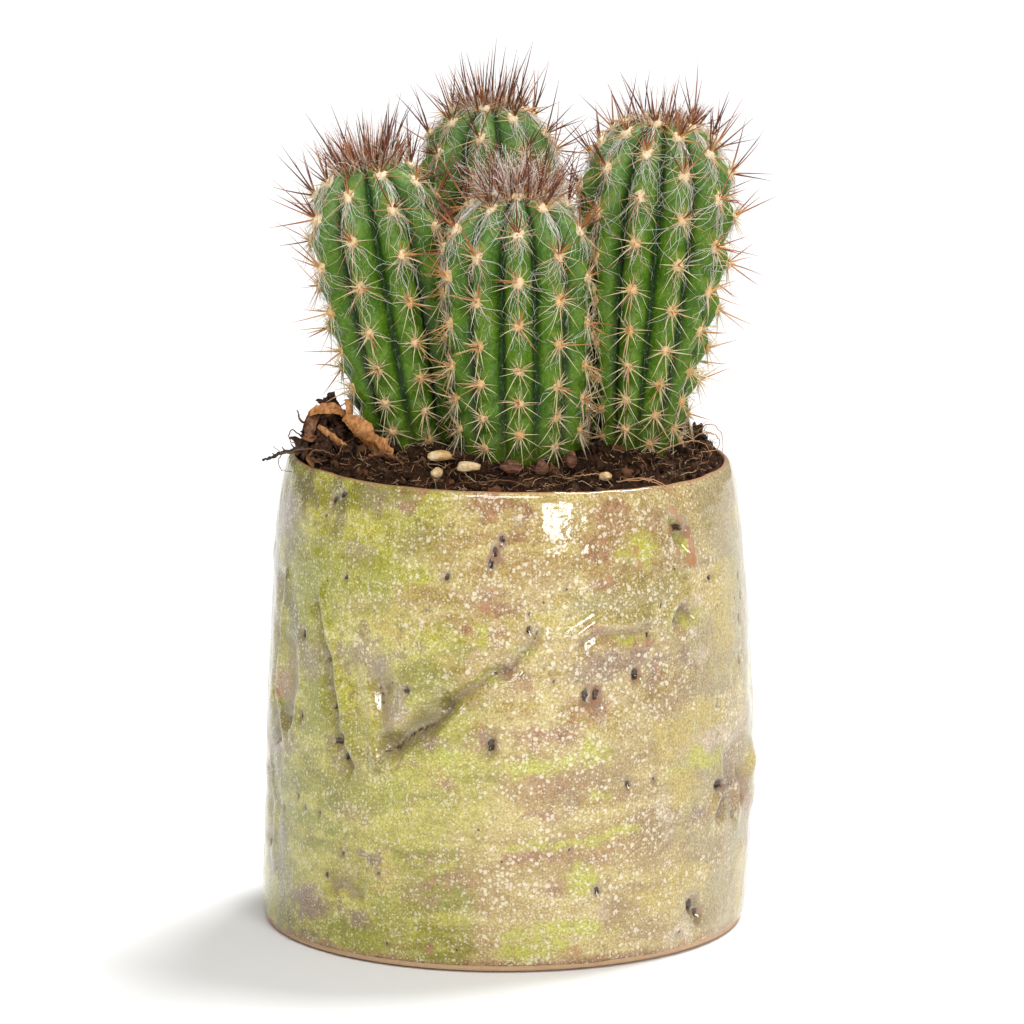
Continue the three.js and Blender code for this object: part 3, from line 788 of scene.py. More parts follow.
    # painted shadow: creases and pits are painted near black
    shadowEdge = s.plus(s.mark("dark"), s.span(s.noise(0.0009, 4, 0.65), 0.3, 0.7, -0.35, 0.3))
    shadowTone = s.ramp(fine, 0.35, 0.65, (0.016, 0.010, 0.006), (0.060, 0.034, 0.016))
    colour = s.ramp(shadowEdge, 0.25, 0.75, colour, shadowTone, 0.95)
    sheen = s.ramp(clay, 0.4, 0.7, (0.07, 0.07, 0.07), (0.7, 0.7, 0.7))
    rough = s.plus(s.times(crystals, 0.10), sheen)
    relief = s.bump(s.noise(0.0034, 3, 0.5), 0.26, 0.0005)
    relief = s.bump(crystals, 0.2, 0.00008, relief)
    relief = s.bump(pinhole, -0.8, 0.0003, relief)
    return s.finish(Base_Color=colour, Roughness=rough, Normal=relief, IOR=1.62)


potPiece = addPiece("pot_body", makePotMesh(), glazeMaterial(), ["pot"])
print("pot made", len(potPiece.data.polygons))

# stems

stems = {
    # axis base and tip in millimetres, crest radius, foot as a share of it, ribs,
    # degrees that the first rib faces from straight ahead
    "front": {"base": (3.3, -15, 96.5), "tip": (2.7, -14.2, 148.5), "radius": 14.2, "waist": 0.82,
              "ribs": 11, "facing": 0, "seed": 1, "crownWool": 420, "woolRise": 1.6},
    "left": {"base": (-17.5, -3, 95.5), "tip": (-27.5, -2, 153.5), "radius": 12.9, "waist": 0.66,
             "ribs": 9, "facing": -20, "seed": 2, "crownWool": 260, "woolRise": 1.1},
    "right": {"base": (25.8, -4, 95.5), "tip": (31.5, -3, 162), "radius": 14.9, "waist": 0.52,
              "ribs": 11, "facing": -14, "seed": 3, "crownWool": 230, "woolRise": 1.0},
    "back": {"base": (-2.5, 13.5, 96), "tip": (-2.8, 16, 163), "radius": 14.3, "waist": 0.62,
             "ribs": 9, "facing": -9, "seed": 4, "crownWool": 240, "woolRise": 1.1},
}
growth = {
    "widestAt": 0.72,
    "dome": 2.1,
    "grooveLow": 0.15,  # groove depth as a share of the radius
    "grooveHigh": 0.33,
    "roundness": 0.78,  # below 1 the ribs are broad and the grooves narrow
    "columnsPerRib": 14,
    "sideRows": 76,
    "domeRows": 30,
    "firstAreole": 3.0,  # millimetres above the soil line
    "spacingLow": 5.6,
    "spacingHigh": 9.0,
    "lastAreole": 0.985,  # share of the height
    "crowding": 0.76,  # share above which they sit closer
    "tubercle": 0.85,  # rise of the rib at each areole
    "notch": 0.65,  # dip of the rib between them
    "crownSink": 1.7,  # the middle of the top lies this far down
    "crownFall": 0.035,  # how fast the crown's roots drop away from it
}


class Stem:
    def __init__(self, name, facts):
        self.name = name
        self.facts = facts
        self.base = np.array(facts["base"], float)
        whole = np.array(facts["tip"], float) - self.base
        self.height = np.linalg.norm(whole)
        self.up = whole / self.height
        self.east = unit(np.cross((0, 1.0, 0), self.up))
        self.north = np.cross(self.up, self.east)
        self.random = np.random.default_rng(facts["seed"])
        self.firstAngle = math.radians(facts["facing"] - 90)
        self.ribAngles = self.firstAngle + 2 * math.pi * np.arange(facts["ribs"]) / facts["ribs"]
        self.areoles = [self.areoleHeights(k) for k in range(facts["ribs"])]

    def crest(self, share):
        share = np.asarray(share, float)
        waist, radius = self.facts["waist"], self.facts["radius"]
        rise = np.sin(np.clip(share / growth["widestAt"], 0, 1) * math.pi / 2) ** 1.1
        side = radius * (waist + (1 - waist) * rise)
        beyond = np.clip((share - growth["widestAt"]) / (1 - growth["widestAt"]), 0, 1)
        dome = radius * (1 - beyond ** growth["dome"]) ** (1 / growth["dome"])
        buried = radius * waist * (1 - 0.5 * smooth(-share, 0.02, 0.22))
        return np.where(share < 0, buried, np.where(share <= growth["widestAt"], side, dome))

    def wave(self, angle):
        # 1 along a crest, 0 at the bottom of a groove.
        return np.sqrt(np.cos((angle - self.firstAngle) * self.facts["ribs"] / 2) ** 2 * 0.985 + 0.015)

    def wallRadius(self, share, angle):
        low, high = growth["grooveLow"], growth["grooveHigh"]
        deep = low + (high - low) * smooth(share, 0.0, 0.85)
        return self.crest(share) * (1 - deep * (1 - self.wave(angle) ** growth["roundness"]))

    def areoleHeights(self, rib):
        # Areoles alternate from rib to rib, counted both ways from the first one.
        heights = []
        low, high = growth["spacingLow"], growth["spacingHigh"]
        fromFirst = min(rib, self.facts["ribs"] - rib)
        height = growth["firstAreole"] + ((fromFirst + 1) % 2) * low * 0.46
        while height < growth["lastAreole"] * self.height:
            heights.append(height + self.random.uniform(-0.4, 0.4))
            share = height / self.height
            height += low + (high - low) * smooth(share, 0, 0.5)
            if share > growth["crowding"]:
                height -= (share - growth["crowding"]) * 28
        return np.array(heights)

    def at(self, height, angle, radius):
        # World point at a height along the axis, an angle round it and a distance from it.
        height, angle, radius = np.broadcast_arrays(height, angle, radius)
        out = np.cos(angle)[..., None] * self.east + np.sin(angle)[..., None] * self.north
        return self.base + height[..., None] * self.up + radius[..., None] * out

    def frameAt(self, height, angle):
        # Outward normal, upward and sideways directions of the crest at a height and angle.
        step = 0.3
        above, below = (self.crest((height + way * step) / self.height) for way in (1, -1))
        slope = (above - below) / (2 * step)
        out = math.cos(angle) * self.east + math.sin(angle) * self.north
        climb = unit(out * slope + self.up)
        sideways = np.cross(self.up, out)
        return np.cross(sideways, climb), climb, sideways

    def eachAreole(self, lift):
        # Rib, height, share of the height, directions and root of every areole.
        for k, places in enumerate(self.areoles):
            angle = self.ribAngles[k]
            for place in places:
                share = place / self.height
                root = self.at(place, angle, self.crest(share) + lift * growth["tubercle"])
                yield k, place, share, self.frameAt(place, angle), root

    def depthInside(self, points):
        # How far points lie inside the stem, negative outside it.
        local = points - self.base
        height = local @ self.up
        away = np.linalg.norm(local - height[..., None] * self.up, axis=-1)
        inside = self.crest(np.clip(height / self.height, 0, 1)) - away
        return np.where(height > self.height, self.height - height, inside)

    def skin(self):
        ribs = self.facts["ribs"]
        columns = ribs * growth["columnsPerRib"]
        angle = self.firstAngle + 2 * math.pi * np.arange(columns) / columns
        lower = np.linspace(-0.10, growth["widestAt"], growth["sideRows"])
        turned = np.sin(np.linspace(0, math.pi / 2, growth["domeRows"] + 2))[1:-1]
        share = np.concatenate([lower, growth["widestAt"] + (1 - growth["widestAt"]) * turned])
        height = share * self.height
        wave = self.wave(angle)[None]
        nearestRib = np.round((angle - angle[0]) * ribs / (2 * math.pi)).astype(int) % ribs
        radius = self.wallRadius(share[:, None], angle[None])
        swell = np.zeros((len(share), ribs))
        flush = np.zeros((len(share), ribs))
        for k, places in enumerate(self.areoles):
            gaps = np.append(places[1:], places[-1] + growth["spacingHigh"]) - places
            for place, space in zip(places, gaps):
                swell[:, k] += growth["tubercle"] * hump(height - place, 2.4)
                swell[:, k] -= growth["notch"] * hump(height - place - space * 0.42, 0.9)
                flush[:, k] += hump(height - place - 1.6, 1.8)
        atRib = swell[:, nearestRib]
        taper = smooth(self.crest(share) / self.facts["radius"], 0.0, 0.5)[:, None]
        radius = radius + atRib * wave**2 * taper
        sunk = 1.6 * hump(self.crest(share), 5.0)[:, None]
        points = self.at(height[:, None] - sunk, angle[None], radius)
        drift = 0.2 * roughNoise(points, 6.0, 3, self.facts["seed"])
        points += drift[..., None] * unit(points - self.at(height[:, None], angle[None], 0 * radius))
        foot = self.at(np.array([height[0] - 1.0]), 0.0, 0.0)
        crown = self.at(np.array([self.height - growth["crownSink"]]), 0.0, 0.0)
        whole = np.concatenate([foot, points.reshape(-1, 3), crown]) * mm
        marks = {
            "crestline": np.broadcast_to(wave, radius.shape),
            "share": np.broadcast_to(share[:, None], radius.shape),
            "nub": np.clip(flush[:, nearestRib] * wave**3, 0, 1),
        }
        for label, values in marks.items():
            marks[label] = np.concatenate([[0], values.ravel(), [0 if label == "nub" else 1]])
        return buildMesh("stem_" + self.name, whole, lathedFaces(len(share), columns), marks)


plants = {name: Stem(name, facts) for name, facts in stems.items()}


def depthInStems(points, without=None):
    # How far points lie inside the nearest stem, apart from one that may be left out.
    near = [plant for plant in plants.values() if plant is not without]
    return np.max([plant.depthInside(points) for plant in near], axis=0)


def skinMaterial():
    s = Shader("cactus_skin")
    crest = s.mark("crestline")
    share = s.mark("share")
    nub = s.mark("nub")
    mottled = s.noise(0.005, 5, 0.65)
    streak = s.noise(0.0012, 4, 0.65, 0.2, s.stretch(1.5, 1.5, 0.5))
    fine = s.noise(0.0007, 3, 0.6)
    # painted shade: the grooves between the ribs are painted near-black green and the crests lighter
    deep = s.ramp(mottled, 0.35, 0.65, (0.003, 0.016, 0.002), (0.008, 0.034, 0.004))
    flesh = s.ramp(mottled, 0.34, 0.66, (0.052, 0.134, 0.005), (0.116, 0.226, 0.011))
    colour = s.ramp(crest, 0.10, 0.66, deep, flesh)
    young = s.ramp(mottled, 0.3, 0.7, (0.10, 0.215, 0.055), (0.19, 0.33, 0.105))
    high = s.times(s.span(share, 0.62, 1.0), s.span(crest, 0.1, 0.6))
    colour = s.blend(s.times(high, 0.9), colour, young)
    old = s.blend(mottled, (0.070, 0.110, 0.006), (0.125, 0.16, 0.014))
    colour = s.ramp(share, 0.20, 0.0, colour, old, 0.6)
    yellow = s.times(s.span(nub, 0.2, 0.9), s.span(share, 0.1, 0.9, 0.35, 0.75))
    colour = s.blend(yellow, colour, (0.19, 0.27, 0.035))
    dots, tone = s.cells(0.0005, s.stretch(1.2, 1.2, 0.8))
    pale = s.times(s.span(dots, 0.38, 0.16), s.math("GREATER_THAN", s.axis("X", tone), 0.45))
    colour = s.blend(s.times(pale, 0.32), colour, (0.30, 0.42, 0.20))
    colour = s.ramp(streak, 0.56, 0.72, colour, (0.22, 0.36, 0.13), 0.35)
    colour = s.ramp(fine, 0.35, 0.7, colour, (0.35, 0.45, 0.22), 0.6, "MULTIPLY")
    relief = s.bump(s.noise(0.0022, 4, 0.55), 0.30, 0.0004)
    relief = s.bump(s.noise(0.0005, 2, 0.5), 0.25, 0.0001, relief)
    return s.finish(Base_Color=colour, Roughness=0.34, Normal=relief, Specular_IOR_Level=0.2,
                    Subsurface_Weight=0.03, Subsurface_Radius=(0.6, 1.0, 0.2), Subsurface_Scale=0.001)


skinLook = skinMaterial()
for plant in plants.values():
    node = "stem_" + plant.name
    addPiece(node + "_flesh", plant.skin(), skinLook, [node])
print("stems made")

# spines, felt and wool

armour = {
    "radials": 11,
    "radialLength": (3.8, 7.0),
    "lowCentrals": (0, 1),
    "centrals": (2, 4),
    "topCentrals": (5, 8),
    "centralLength": (6.5, 12.5),
    "radialRadius": 0.11,
    "centralRadius": 0.175,
    "crownSpines": 210,
    "crownLength": (6.5, 12.5),
    "crownReach": 6.3,
    "tallest": 14,  # a few long spines on each crown
    "tallLength": (12, 15.5),
    "feltHairs": 17,
    "feltRadius": 0.065,
    "woolLow": 3,  # hairs at an areole near the soil
    "woolHigh": 24,
    "woolLength": (3.5, 11),
    "tuftLength": (3, 8.5),  # on the crown
    "woolRadius": 0.048,
}


def shorten(plant, start, direction, length):
    # The longest part of each spine that stays out of every other stem.
    best = np.zeros(len(length))
    clear = np.ones(len(length), bool)
    for part in np.linspace(0.15, 1, 10):
        tips = start + direction * (length * part)[:, None]
        clear &= depthInStems(tips, plant) < -0.4
        best = np.where(clear, part, best)
    return length * best


def spinePaths(start, direction, length, bend, steps):
    share = np.linspace(0, 1, steps)[None, :, None]
    course = direction[:, None] * share + bend[:, None] * share**2
    return start[:, None] + length[:, None, None] * course


def areoleSpines(plant):
    spines = []  # start, direction, length, radius, tint of each
    random = plant.random
    middle = (armour["radials"] - 1) / 2
    for _, _, share, (out, climb, aside), root in plant.eachAreole(0.9):
        age = float(smooth(share, 0.35, 0.9))
        size = 0.86 + 0.16 * float(smooth(share, 0.1, 0.7))
        for i in range(armour["radials"]):
            # radials fan out sideways and down, with short ones above
            turn = math.radians(-90 + (i - middle) * 34 + random.uniform(-9, 9))
            flat = math.cos(turn) * aside + math.sin(turn) * climb
            lift = math.radians(random.uniform(6, 34))
            direction = flat * math.cos(lift) + out * math.sin(lift)
            length = size * random.uniform(*armour["radialLength"]) * (0.84 - 0.3 * math.sin(turn))
            radius = armour["radialRadius"] * random.uniform(0.8, 1.2)
            tint = 0.08 + 0.3 * age + random.uniform(-0.1, 0.2)
            spines.append((root + flat * 0.5, direction, length, radius, tint))
        centrals = armour["topCentrals" if share > 0.78 else "centrals"]
        if share < 0.22:
            centrals = armour["lowCentrals"]
        for i in range(random.integers(*centrals, endpoint=True)):
            lift = math.radians(random.uniform(35, 80))
            turn = random.uniform(0, 2 * math.pi)
            flat = math.cos(turn) * aside + math.sin(turn) * climb
            flat = flat + (0.25 + 1.1 * age) * climb * random.uniform(0, 1)
            direction = unit(unit(flat) * math.cos(lift) + out * math.sin(lift) + 0.35 * age * plant.up)
            length = size * random.uniform(*armour["centralLength"]) * (0.72 + 0.28 * age)
            radius = armour["centralRadius"] * random.uniform(0.8, 1.15)
            tint = 0.42 + 0.62 * age + random.uniform(-0.2, 0.14)
            spines.append((root, direction, length, radius, tint))
    return spines


def crownSpines(plant):
    spines = []
    random = plant.random
    for i in range(armour["crownSpines"]):
        angle = random.uniform(0, 2 * math.pi)
        away = armour["crownReach"] * math.sqrt(random.uniform(0.01, 1))
        level = plant.height - growth["crownSink"] + 0.2 * math.exp(-away) - growth["crownFall"] * away**2
        root = plant.at(level, angle, away)
        out = math.cos(angle) * plant.east + math.sin(angle) * plant.north
        lean = 0.02 + 0.09 * away + random.uniform(-0.2, 0.25)
        length = random.uniform(*armour["crownLength"]) * (1.0 - 0.03 * away)
        radius = armour["centralRadius"] * random.uniform(0.45, 0.8)
        tint = 0.78 + random.uniform(-0.2, 0.2)
        if i < armour["tallest"]:
            length = random.uniform(*armour["tallLength"])
        if i < armour["tallest"] * 3:
            radius = armour["centralRadius"] * random.uniform(1.1, 1.35)
            tint = 1.1
        spines.append((root, unit(plant.up + lean * out), length, radius, tint))
    return spines


def spineMesh(plant):
    columns = zip(*(areoleSpines(plant) + crownSpines(plant)))
    start, direction, length, radius, tint = [np.array(values) for values in columns]
    length = shorten(plant, start, direction, length)
    kept = length > 1.2
    start, direction, length, radius, tint = [v[kept] for v in (start, direction, length, radius, tint)]
    bend = 0.06 * plant.random.normal(size=start.shape)
    taper = np.array([1.0, 0.84, 0.5, 0.07])
    steps = len(taper)
    paths = spinePaths(start, direction, length, bend, steps)
    gather = Gather()
    along = np.linspace(0, 1, steps)
    gather.addTubes(paths, radius[:, None] * taper, 4, tint=tint[:, None], along=along)
    return gather.mesh("spines_" + plant.name)


def spineMaterial():
    s = Shader("cactus_spines")
    tint = s.mark("tint")
    along = s.mark("along")
    pale = s.blend(along, (0.90, 0.76, 0.48), (0.78, 0.64, 0.42))
    amber = s.blend(along, (0.72, 0.38, 0.12), (0.42, 0.15, 0.04))
    red = s.ramp(along, 0.02, 0.5, (0.80, 0.40, 0.13), (0.32, 0.095, 0.032))
    dark = s.ramp(along, 0.0, 0.3, (0.42, 0.16, 0.05), (0.11, 0.026, 0.012))
    colour = s.ramp(tint, 0.18, 0.48, pale, amber)
    colour = s.ramp(tint, 0.5, 0.78, colour, red)
    colour = s.ramp(tint, 0.88, 1.02, colour, dark)
    colour = s.ramp(s.noise(0.002, 3, 0.6), 0.35, 0.65, colour, (0.55, 0.42, 0.34), 0.35, "MULTIPLY")
    return s.finish(Base_Color=colour, Roughness=0.4, Subsurface_Weight=0.05, Subsurface_Scale=0.0005)


def feltMesh(plant):
    gather = Gather()
    ball, faces = spheres[1]
    random = plant.random
    count = armour["feltHairs"]
    thin = np.full((count, 1), armour["feltRadius"]) * np.array([1, 0.8, 0.3])
    for k, place, share, (out, climb, aside), root in plant.eachAreole(0.75):
        size = 0.86 + 0.32 * share
        lumps = 1 + 0.45 * roughNoise(ball * 3 + place, 1.1, 3, k)
        shape = ball * lumps[:, None] * size
        points = root + shape[:, :1] * aside + shape[:, 1:2] * climb * 1.15 + shape[:, 2:] * out * 0.75
        young = float(smooth(share, 0.55, 0.95))
        gather.add(points * mm, [faces], pale=0.25 + 0.6 * young + random.uniform(-0.2, 0.2))
        spread = unit(random.normal(size=(count, 3)))
        spread[:, 2] = np.abs(spread[:, 2]) * 0.7 + 0.1
        way = unit(spread[:, :1] * aside + spread[:, 1:2] * climb + spread[:, 2:] * out)
        length = random.uniform(1.1, 2.5, count)
        paths = spinePaths(root + way * 0.5, way, length, 0.3 * random.normal(size=way.shape), 3)
        gather.addTubes(paths, thin, 3, pale=0.5 + 0.5 * young)
    return gather.mesh("felt_" + plant.name)


def feltMaterial():
    s = Shader("areole_felt")
    tone = s.blend(s.mark("pale"), (0.68, 0.40, 0.13), (0.93, 0.80, 0.54))
    colour = s.ramp(s.noise(0.0005, 3, 0.6), 0.50, 0.64, tone, (0.46, 0.19, 0.06), 0.4)
    relief = s.bump(s.noise(0.0003, 3, 0.7), 0.8, 0.0002)
    return s.finish(Base_Color=colour, Roughness=0.95, Normal=relief)


def woolPaths(random, start, direction, length, steps, droop, waves):
    # Wavy hairs: each step turns a little at random and sinks a little under its own weight.
    points = [start]
    heading = direction
    for _ in range(steps - 1):
        sway = waves * random.normal(size=heading.shape)
        heading = unit(heading + sway - np.array([0, 0, droop * 0.3]))
        points.append(points[-1] + heading * (length / (steps - 1))[:, None])
    return np.stack(points, axis=1)


def hangingWool(plant, steps):
    # Hairs that start at the areoles and trail down the flanks, close to the skin.
    random = plant.random
    rows = []
    for k, places in enumerate(plant.areoles):
        for place in places:
            share = place / plant.height
            more = armour["woolHigh"] - armour["woolLow"]
            count = int(armour["woolLow"] + more * smooth(share, 0.35, 0.8))
            if math.cos(plant.ribAngles[k] - plant.firstAngle) < -0.2:
                count = count // 2  # fewer on the far side
            rows += [(place, plant.ribAngles[k], share)] * count
    height, angle, share = np.array(rows).T
    count = len(height)
    length = random.uniform(*armour["woolLength"], count) * (0.55 + 0.45 * smooth(share, 0.3, 0.8))
    heading = random.normal(0, 0.6, count)  # from straight down, in radians
    rising = random.uniform(0, 1, count) < 0.12
    heading = np.where(rising, heading + math.pi, heading)
    t = np.linspace(0, 1, steps)[None]
    phase = random.uniform(0, 2 * math.pi, (2, count, 1))
    swing = random.uniform(0.15, 0.75, (count, 1))
    turns = random.uniform(0.6, 1.7, (count, 1))
    curl = swing * (np.sin(2 * math.pi * turns * t + phase[0]) - np.sin(phase[0]))
    down = length[:, None] * t * np.cos(heading)[:, None] - np.sin(heading)[:, None] * curl
    across = length[:, None] * t * np.sin(heading)[:, None] + np.cos(heading)[:, None] * curl
    at = np.clip(height[:, None] - down, 0.6, plant.height * 0.985)
    turned = angle[:, None] + across / plant.facts["radius"]
    near = plant.wallRadius(at / plant.height, turned)
    loose = random.uniform(0.25, 1.6, (count, 1))
    off = 1 - smooth(t, 0, 0.3) + loose * np.sin(math.pi * np.clip(t * 0.85, 0, 1)) + 0.15
    off = off + 0.2 * np.sin(2 * math.pi * turns * t * 1.4 + phase[1])
    return plant.at(at, turned, near + np.maximum(off, 0.1))


def woolMesh(plant):
    random = plant.random
    steps = 8
    hanging = hangingWool(plant, steps)
    hanging = hanging[depthInStems(hanging, plant).max(axis=1) < -0.1]
    count = plant.facts["crownWool"]
    angle = random.uniform(0, 2 * math.pi, count)
    away = armour["crownReach"] * np.sqrt(random.uniform(0, 1, count))
    roots = plant.at(plant.height - 1.8 - growth["crownFall"] * away**2, angle, away)
    out = np.cos(angle)[:, None] * plant.east + np.sin(angle)[:, None] * plant.north
    direction = unit(plant.up + out * (away / 9 + 0.3 * random.normal(size=count))[:, None])
    length = random.uniform(*armour["tuftLength"], count) * plant.facts["woolRise"]
    length = shorten(plant, roots, direction, length)
    kept = length > 1
    tuft = woolPaths(random, roots[kept], direction[kept], length[kept], steps, 0.15, 0.2)
    paths = np.concatenate([hanging, tuft])
    radius = armour["woolRadius"] * np.ones((len(paths), 1)) * np.linspace(1, 0.6, steps)
    pale = random.uniform(0, 1, len(paths)) ** 0.6
    gather = Gather()
    gather.addTubes(paths, radius, 3, pale=pale[:, None])
    return gather.mesh("wool_" + plant.name)


def woolMaterial():
    s = Shader("cactus_wool")
    colour = s.ramp(s.mark("pale"), 0.1, 0.7, (0.52, 0.31, 0.16), (0.90, 0.84, 0.76))
    return s.finish(Base_Color=colour, Roughness=0.55, Subsurface_Weight=0.1, Subsurface_Scale=0.0005)


layers = [("spines", spineMesh, spineMaterial()), ("felt", feltMesh, feltMaterial()),
          ("wool", woolMesh, woolMaterial())]
for plant in plants.values():
    for layer, makeMesh, look in layers:
        addPiece(f"stem_{plant.name}_{layer}", makeMesh(plant), look)
print("spines, felt and wool made")

# potting mix

soil = {
    "radius": 42.4,
    "wallLevel": 93.2,
    "floor": 80.0,  # the bed's hidden underside
    "mound": 4.0,
    # x, y, rise, width of each heap
    "heaps": [(-34.5, -7, 5.5, 8), (37.5, 5, 4.5, 9), (3, 36, 2, 13), (-22, 30, 2, 10), (24, 30, 2, 10)],
    "rings": 104,
    "columns": 270,
    "crumbs": 3800,
    "fibres": 1900,
}


def soilLevel(x, y):
    x, y = np.asarray(x, float), np.asarray(y, float)
    away = np.hypot(x - pot["lean"], y)
    inward = pot["mouth"] - away
    level = soil["wallLevel"] + soil["mound"] * smooth(inward, 0, 22)
    for hx, hy, tall, wide in soil["heaps"]:
        level += tall * np.exp(-((x - hx) ** 2 + (y - hy) ** 2) / wide**2) * smooth(inward, 0, 3.5)
    place = np.stack([x, y, 0 * x], axis=-1)
    calm = smooth(inward, -0.5, 2)
    level += calm * (roughNoise(place, 7, 3, 61) + 0.95 * roughNoise(place, 1.9, 3, 71))
    return level - x * pot["rimTilt"]


def makeSoilMesh():
    reach = soil["radius"] * np.linspace(0.01, 1, soil["rings"]) ** 0.8
    turn = 2 * math.pi * np.arange(soil["columns"]) / soil["columns"]
    x = reach[:, None] * np.cos(turn) + pot["lean"]
    y = reach[:, None] * np.sin(turn) + 0 * x
    top = np.stack([x, y, soilLevel(x, y)], axis=-1)[::-1]
    floor = soil["floor"]
    low = top[:1].copy()
    low[..., 2] = floor
    rows = np.concatenate([low, top]).reshape(-1, 3)
    middle = np.array([[pot["lean"], 0, floor], [pot["lean"], 0, soilLevel(pot["lean"], 0)]])
    points = np.concatenate([middle[:1], rows, middle[1:]]) * mm
    return buildMesh("soil_bed", points, lathedFaces(soil["rings"] + 1, soil["columns"]))


def scatter(random, count):
    # Random places on the soil, clear of the stems.
    away = (soil["radius"] - 0.5) * np.sqrt(random.uniform(0, 1, count * 2))
    turn = random.uniform(0, 2 * math.pi, count * 2)
    x = away * np.cos(turn) + pot["lean"]
    y = away * np.sin(turn)
    points = np.stack([x, y, soilLevel(x, y) + 0.5], axis=-1)
    clear = depthInStems(points) < -0.2
    return x[clear][:count], y[clear][:count]


def crumbMesh():
    random = np.random.default_rng(40)
    gather = Gather()
    x, y = scatter(random, soil["crumbs"])
    z = soilLevel(x, y)
    size = 0.2 + 0.8 * random.uniform(0, 1, len(x)) ** 5
    for i in range(len(x)):
        ball, faces = spheres[1 if size[i] > 0.75 else 0]
        shape = ball * (1 + 0.8 * roughNoise(ball * 2 + i, 1.1, 2, 3)[:, None]) * size[i]
        shape = shape * random.uniform(0.45, 1.5, 3)
        lift = size[i] * random.uniform(-0.1, 0.8)
        gather.add((shape + (x[i], y[i], z[i] + lift)) * mm, [faces], tone=random.uniform(0, 1))
    return gather.mesh("soil_crumbs")


# loose roots that stand clear of the soil: points in millimetres, then thickness
strands = [
    ([(-39, -8, 98), (-41.8, -10, 100.4), (-42.4, -10, 98.8), (-41.4, -10, 97.8),
      (-38.5, -9, 98.0)], 0.16),
    ([(-38, -9, 97), (-42, -11, 96.6), (-44.4, -11, 94.8), (-43.8, -11, 92.6),
      (-41.8, -12, 92.4)], 0.14),
    ([(-38.5, -8, 101), (-40.2, -10, 102.4), (-40.4, -10, 103.4), (-40.7, -10, 104.2)], 0.28),
    ([(-36, -14, 97), (-40, -15, 97.4), (-43, -14, 96.4), (-45.6, -12, 97.4)], 0.12),
    ([(-33, -20, 97), (-36.5, -21.5, 98.4), (-38, -21, 96.8), (-35.5, -22, 95.6)], 0.13),
    ([(36, -6, 97), (40.2, -8, 99.6), (42.6, -8, 98.4), (42.2, -8, 96.2), (39, -8, 95.6)], 0.15),
    ([(38, 0, 98), (41, -4, 100.6), (43.4, -4, 98.6), (43.6, -5, 95.2)], 0.13),
    ([(30, -20, 97.4), (35, -18, 99.2), (39, -14, 98.6), (41.2, -12, 96)], 0.12),
    ([(24, -33, 94.6), (27.6, -34.6, 95), (30.4, -34.6, 94.2), (32.4, -33.6, 92.4), (34.6, -32.4, 89.6),
      (36.2, -32.4, 86.4)], 0.13),
    ([(22, -34.5, 94.4), (27, -35.4, 94.8), (30.2, -35, 93.8), (33.2, -33.6, 90.6)], 0.11),
    ([(-8, -37, 94.6), (-4, -39.6, 95.2), (1, -39, 95.4), (5, -40, 94.4)], 0.12),
    ([(12, -35, 95), (16, -37.4, 96.2), (19, -36, 96), (21, -38.6, 94.2)], 0.13),
]


routeSteps = 26


def smoothPath(points, steps):
    # A Catmull-Rom curve through the points.
    points = np.array(points, float)
    points = np.concatenate([2 * points[:1] - points[1:2], points, 2 * points[-1:] - points[-2:-1]])
    place = np.linspace(0, len(points) - 3 - 1e-6, steps)
    i = place.astype(int)
    t = (place - i)[:, None]
    a, b, c, d = points[i], points[i + 1], points[i + 2], points[i + 3]
    square = 2 * a - 5 * b + 4 * c - d
    cube = 3 * b - a - 3 * c + d
    return 0.5 * (2 * b + (c - a) * t + square * t**2 + cube * t**3)


def fibreMesh():
    random = np.random.default_rng(41)
    x, y = scatter(random, soil["fibres"])
    start = np.stack([x, y, soilLevel(x, y) + random.uniform(0.1, 0.8, len(x))], axis=-1)
    turn = random.uniform(0, 2 * math.pi, len(x))
    direction = np.stack([np.cos(turn), np.sin(turn), random.uniform(-0.1, 0.35, len(x))], axis=-1)
    length = random.uniform(1.2, 4.5, len(x))
    steps = 6
    paths = woolPaths(random, start, unit(direction), length, steps, 0.2, 0.4)
    away = np.hypot(paths[..., 0] - pot["lean"], paths[..., 1])
    paths = paths[away.max(axis=1) < soil["radius"] - 0.2]
    ground = soilLevel(paths[..., 0], paths[..., 1])
    paths[..., 2] = np.maximum(paths[..., 2], ground + 0.05)
    tone = random.uniform(0, 1, len(paths))
    radius = (0.045 + 0.09 * random.uniform(0, 1, len(paths)) ** 2)[:, None] * np.linspace(1, 0.5, steps)
    gather = Gather()
    gather.addTubes(paths, radius, 3, tone=tone[:, None])
    for route, thick in strands:
        path = smoothPath(route, routeSteps) + 0.08 * random.normal(size=(routeSteps, 3))
        taper = thick * np.linspace(1, 0.5, routeSteps)[None]
        gather.addTubes(path[None], taper, 6, tone=0.35 if path[0, 0] < 0 else 0.8)
    return gather.mesh("root_fibres")


def soilMaterial(name):
    s = Shader(name)
    tone = s.mark("tone")
    mottled = s.noise(0.0030, 5, 0.7)
    fine = s.noise(0.0005, 4, 0.75)
    colour = s.ramp(mottled, 0.35, 0.65, (0.008, 0.004, 0.002), (0.070, 0.030, 0.012))
    colour = s.ramp(fine, 0.52, 0.70, colour, (0.20, 0.085, 0.034), 0.8)
    colour = s.ramp(tone, 0.60, 1.0, colour, (0.26, 0.12, 0.055), 0.85)
    relief = s.bump(fine, 1.0, 0.0006)
    relief = s.bump(s.noise(0.002, 4, 0.7), 0.8, 0.0008, relief)
    return s.finish(Base_Color=colour, Roughness=0.92, Normal=relief, Specular_IOR_Level=0.2)


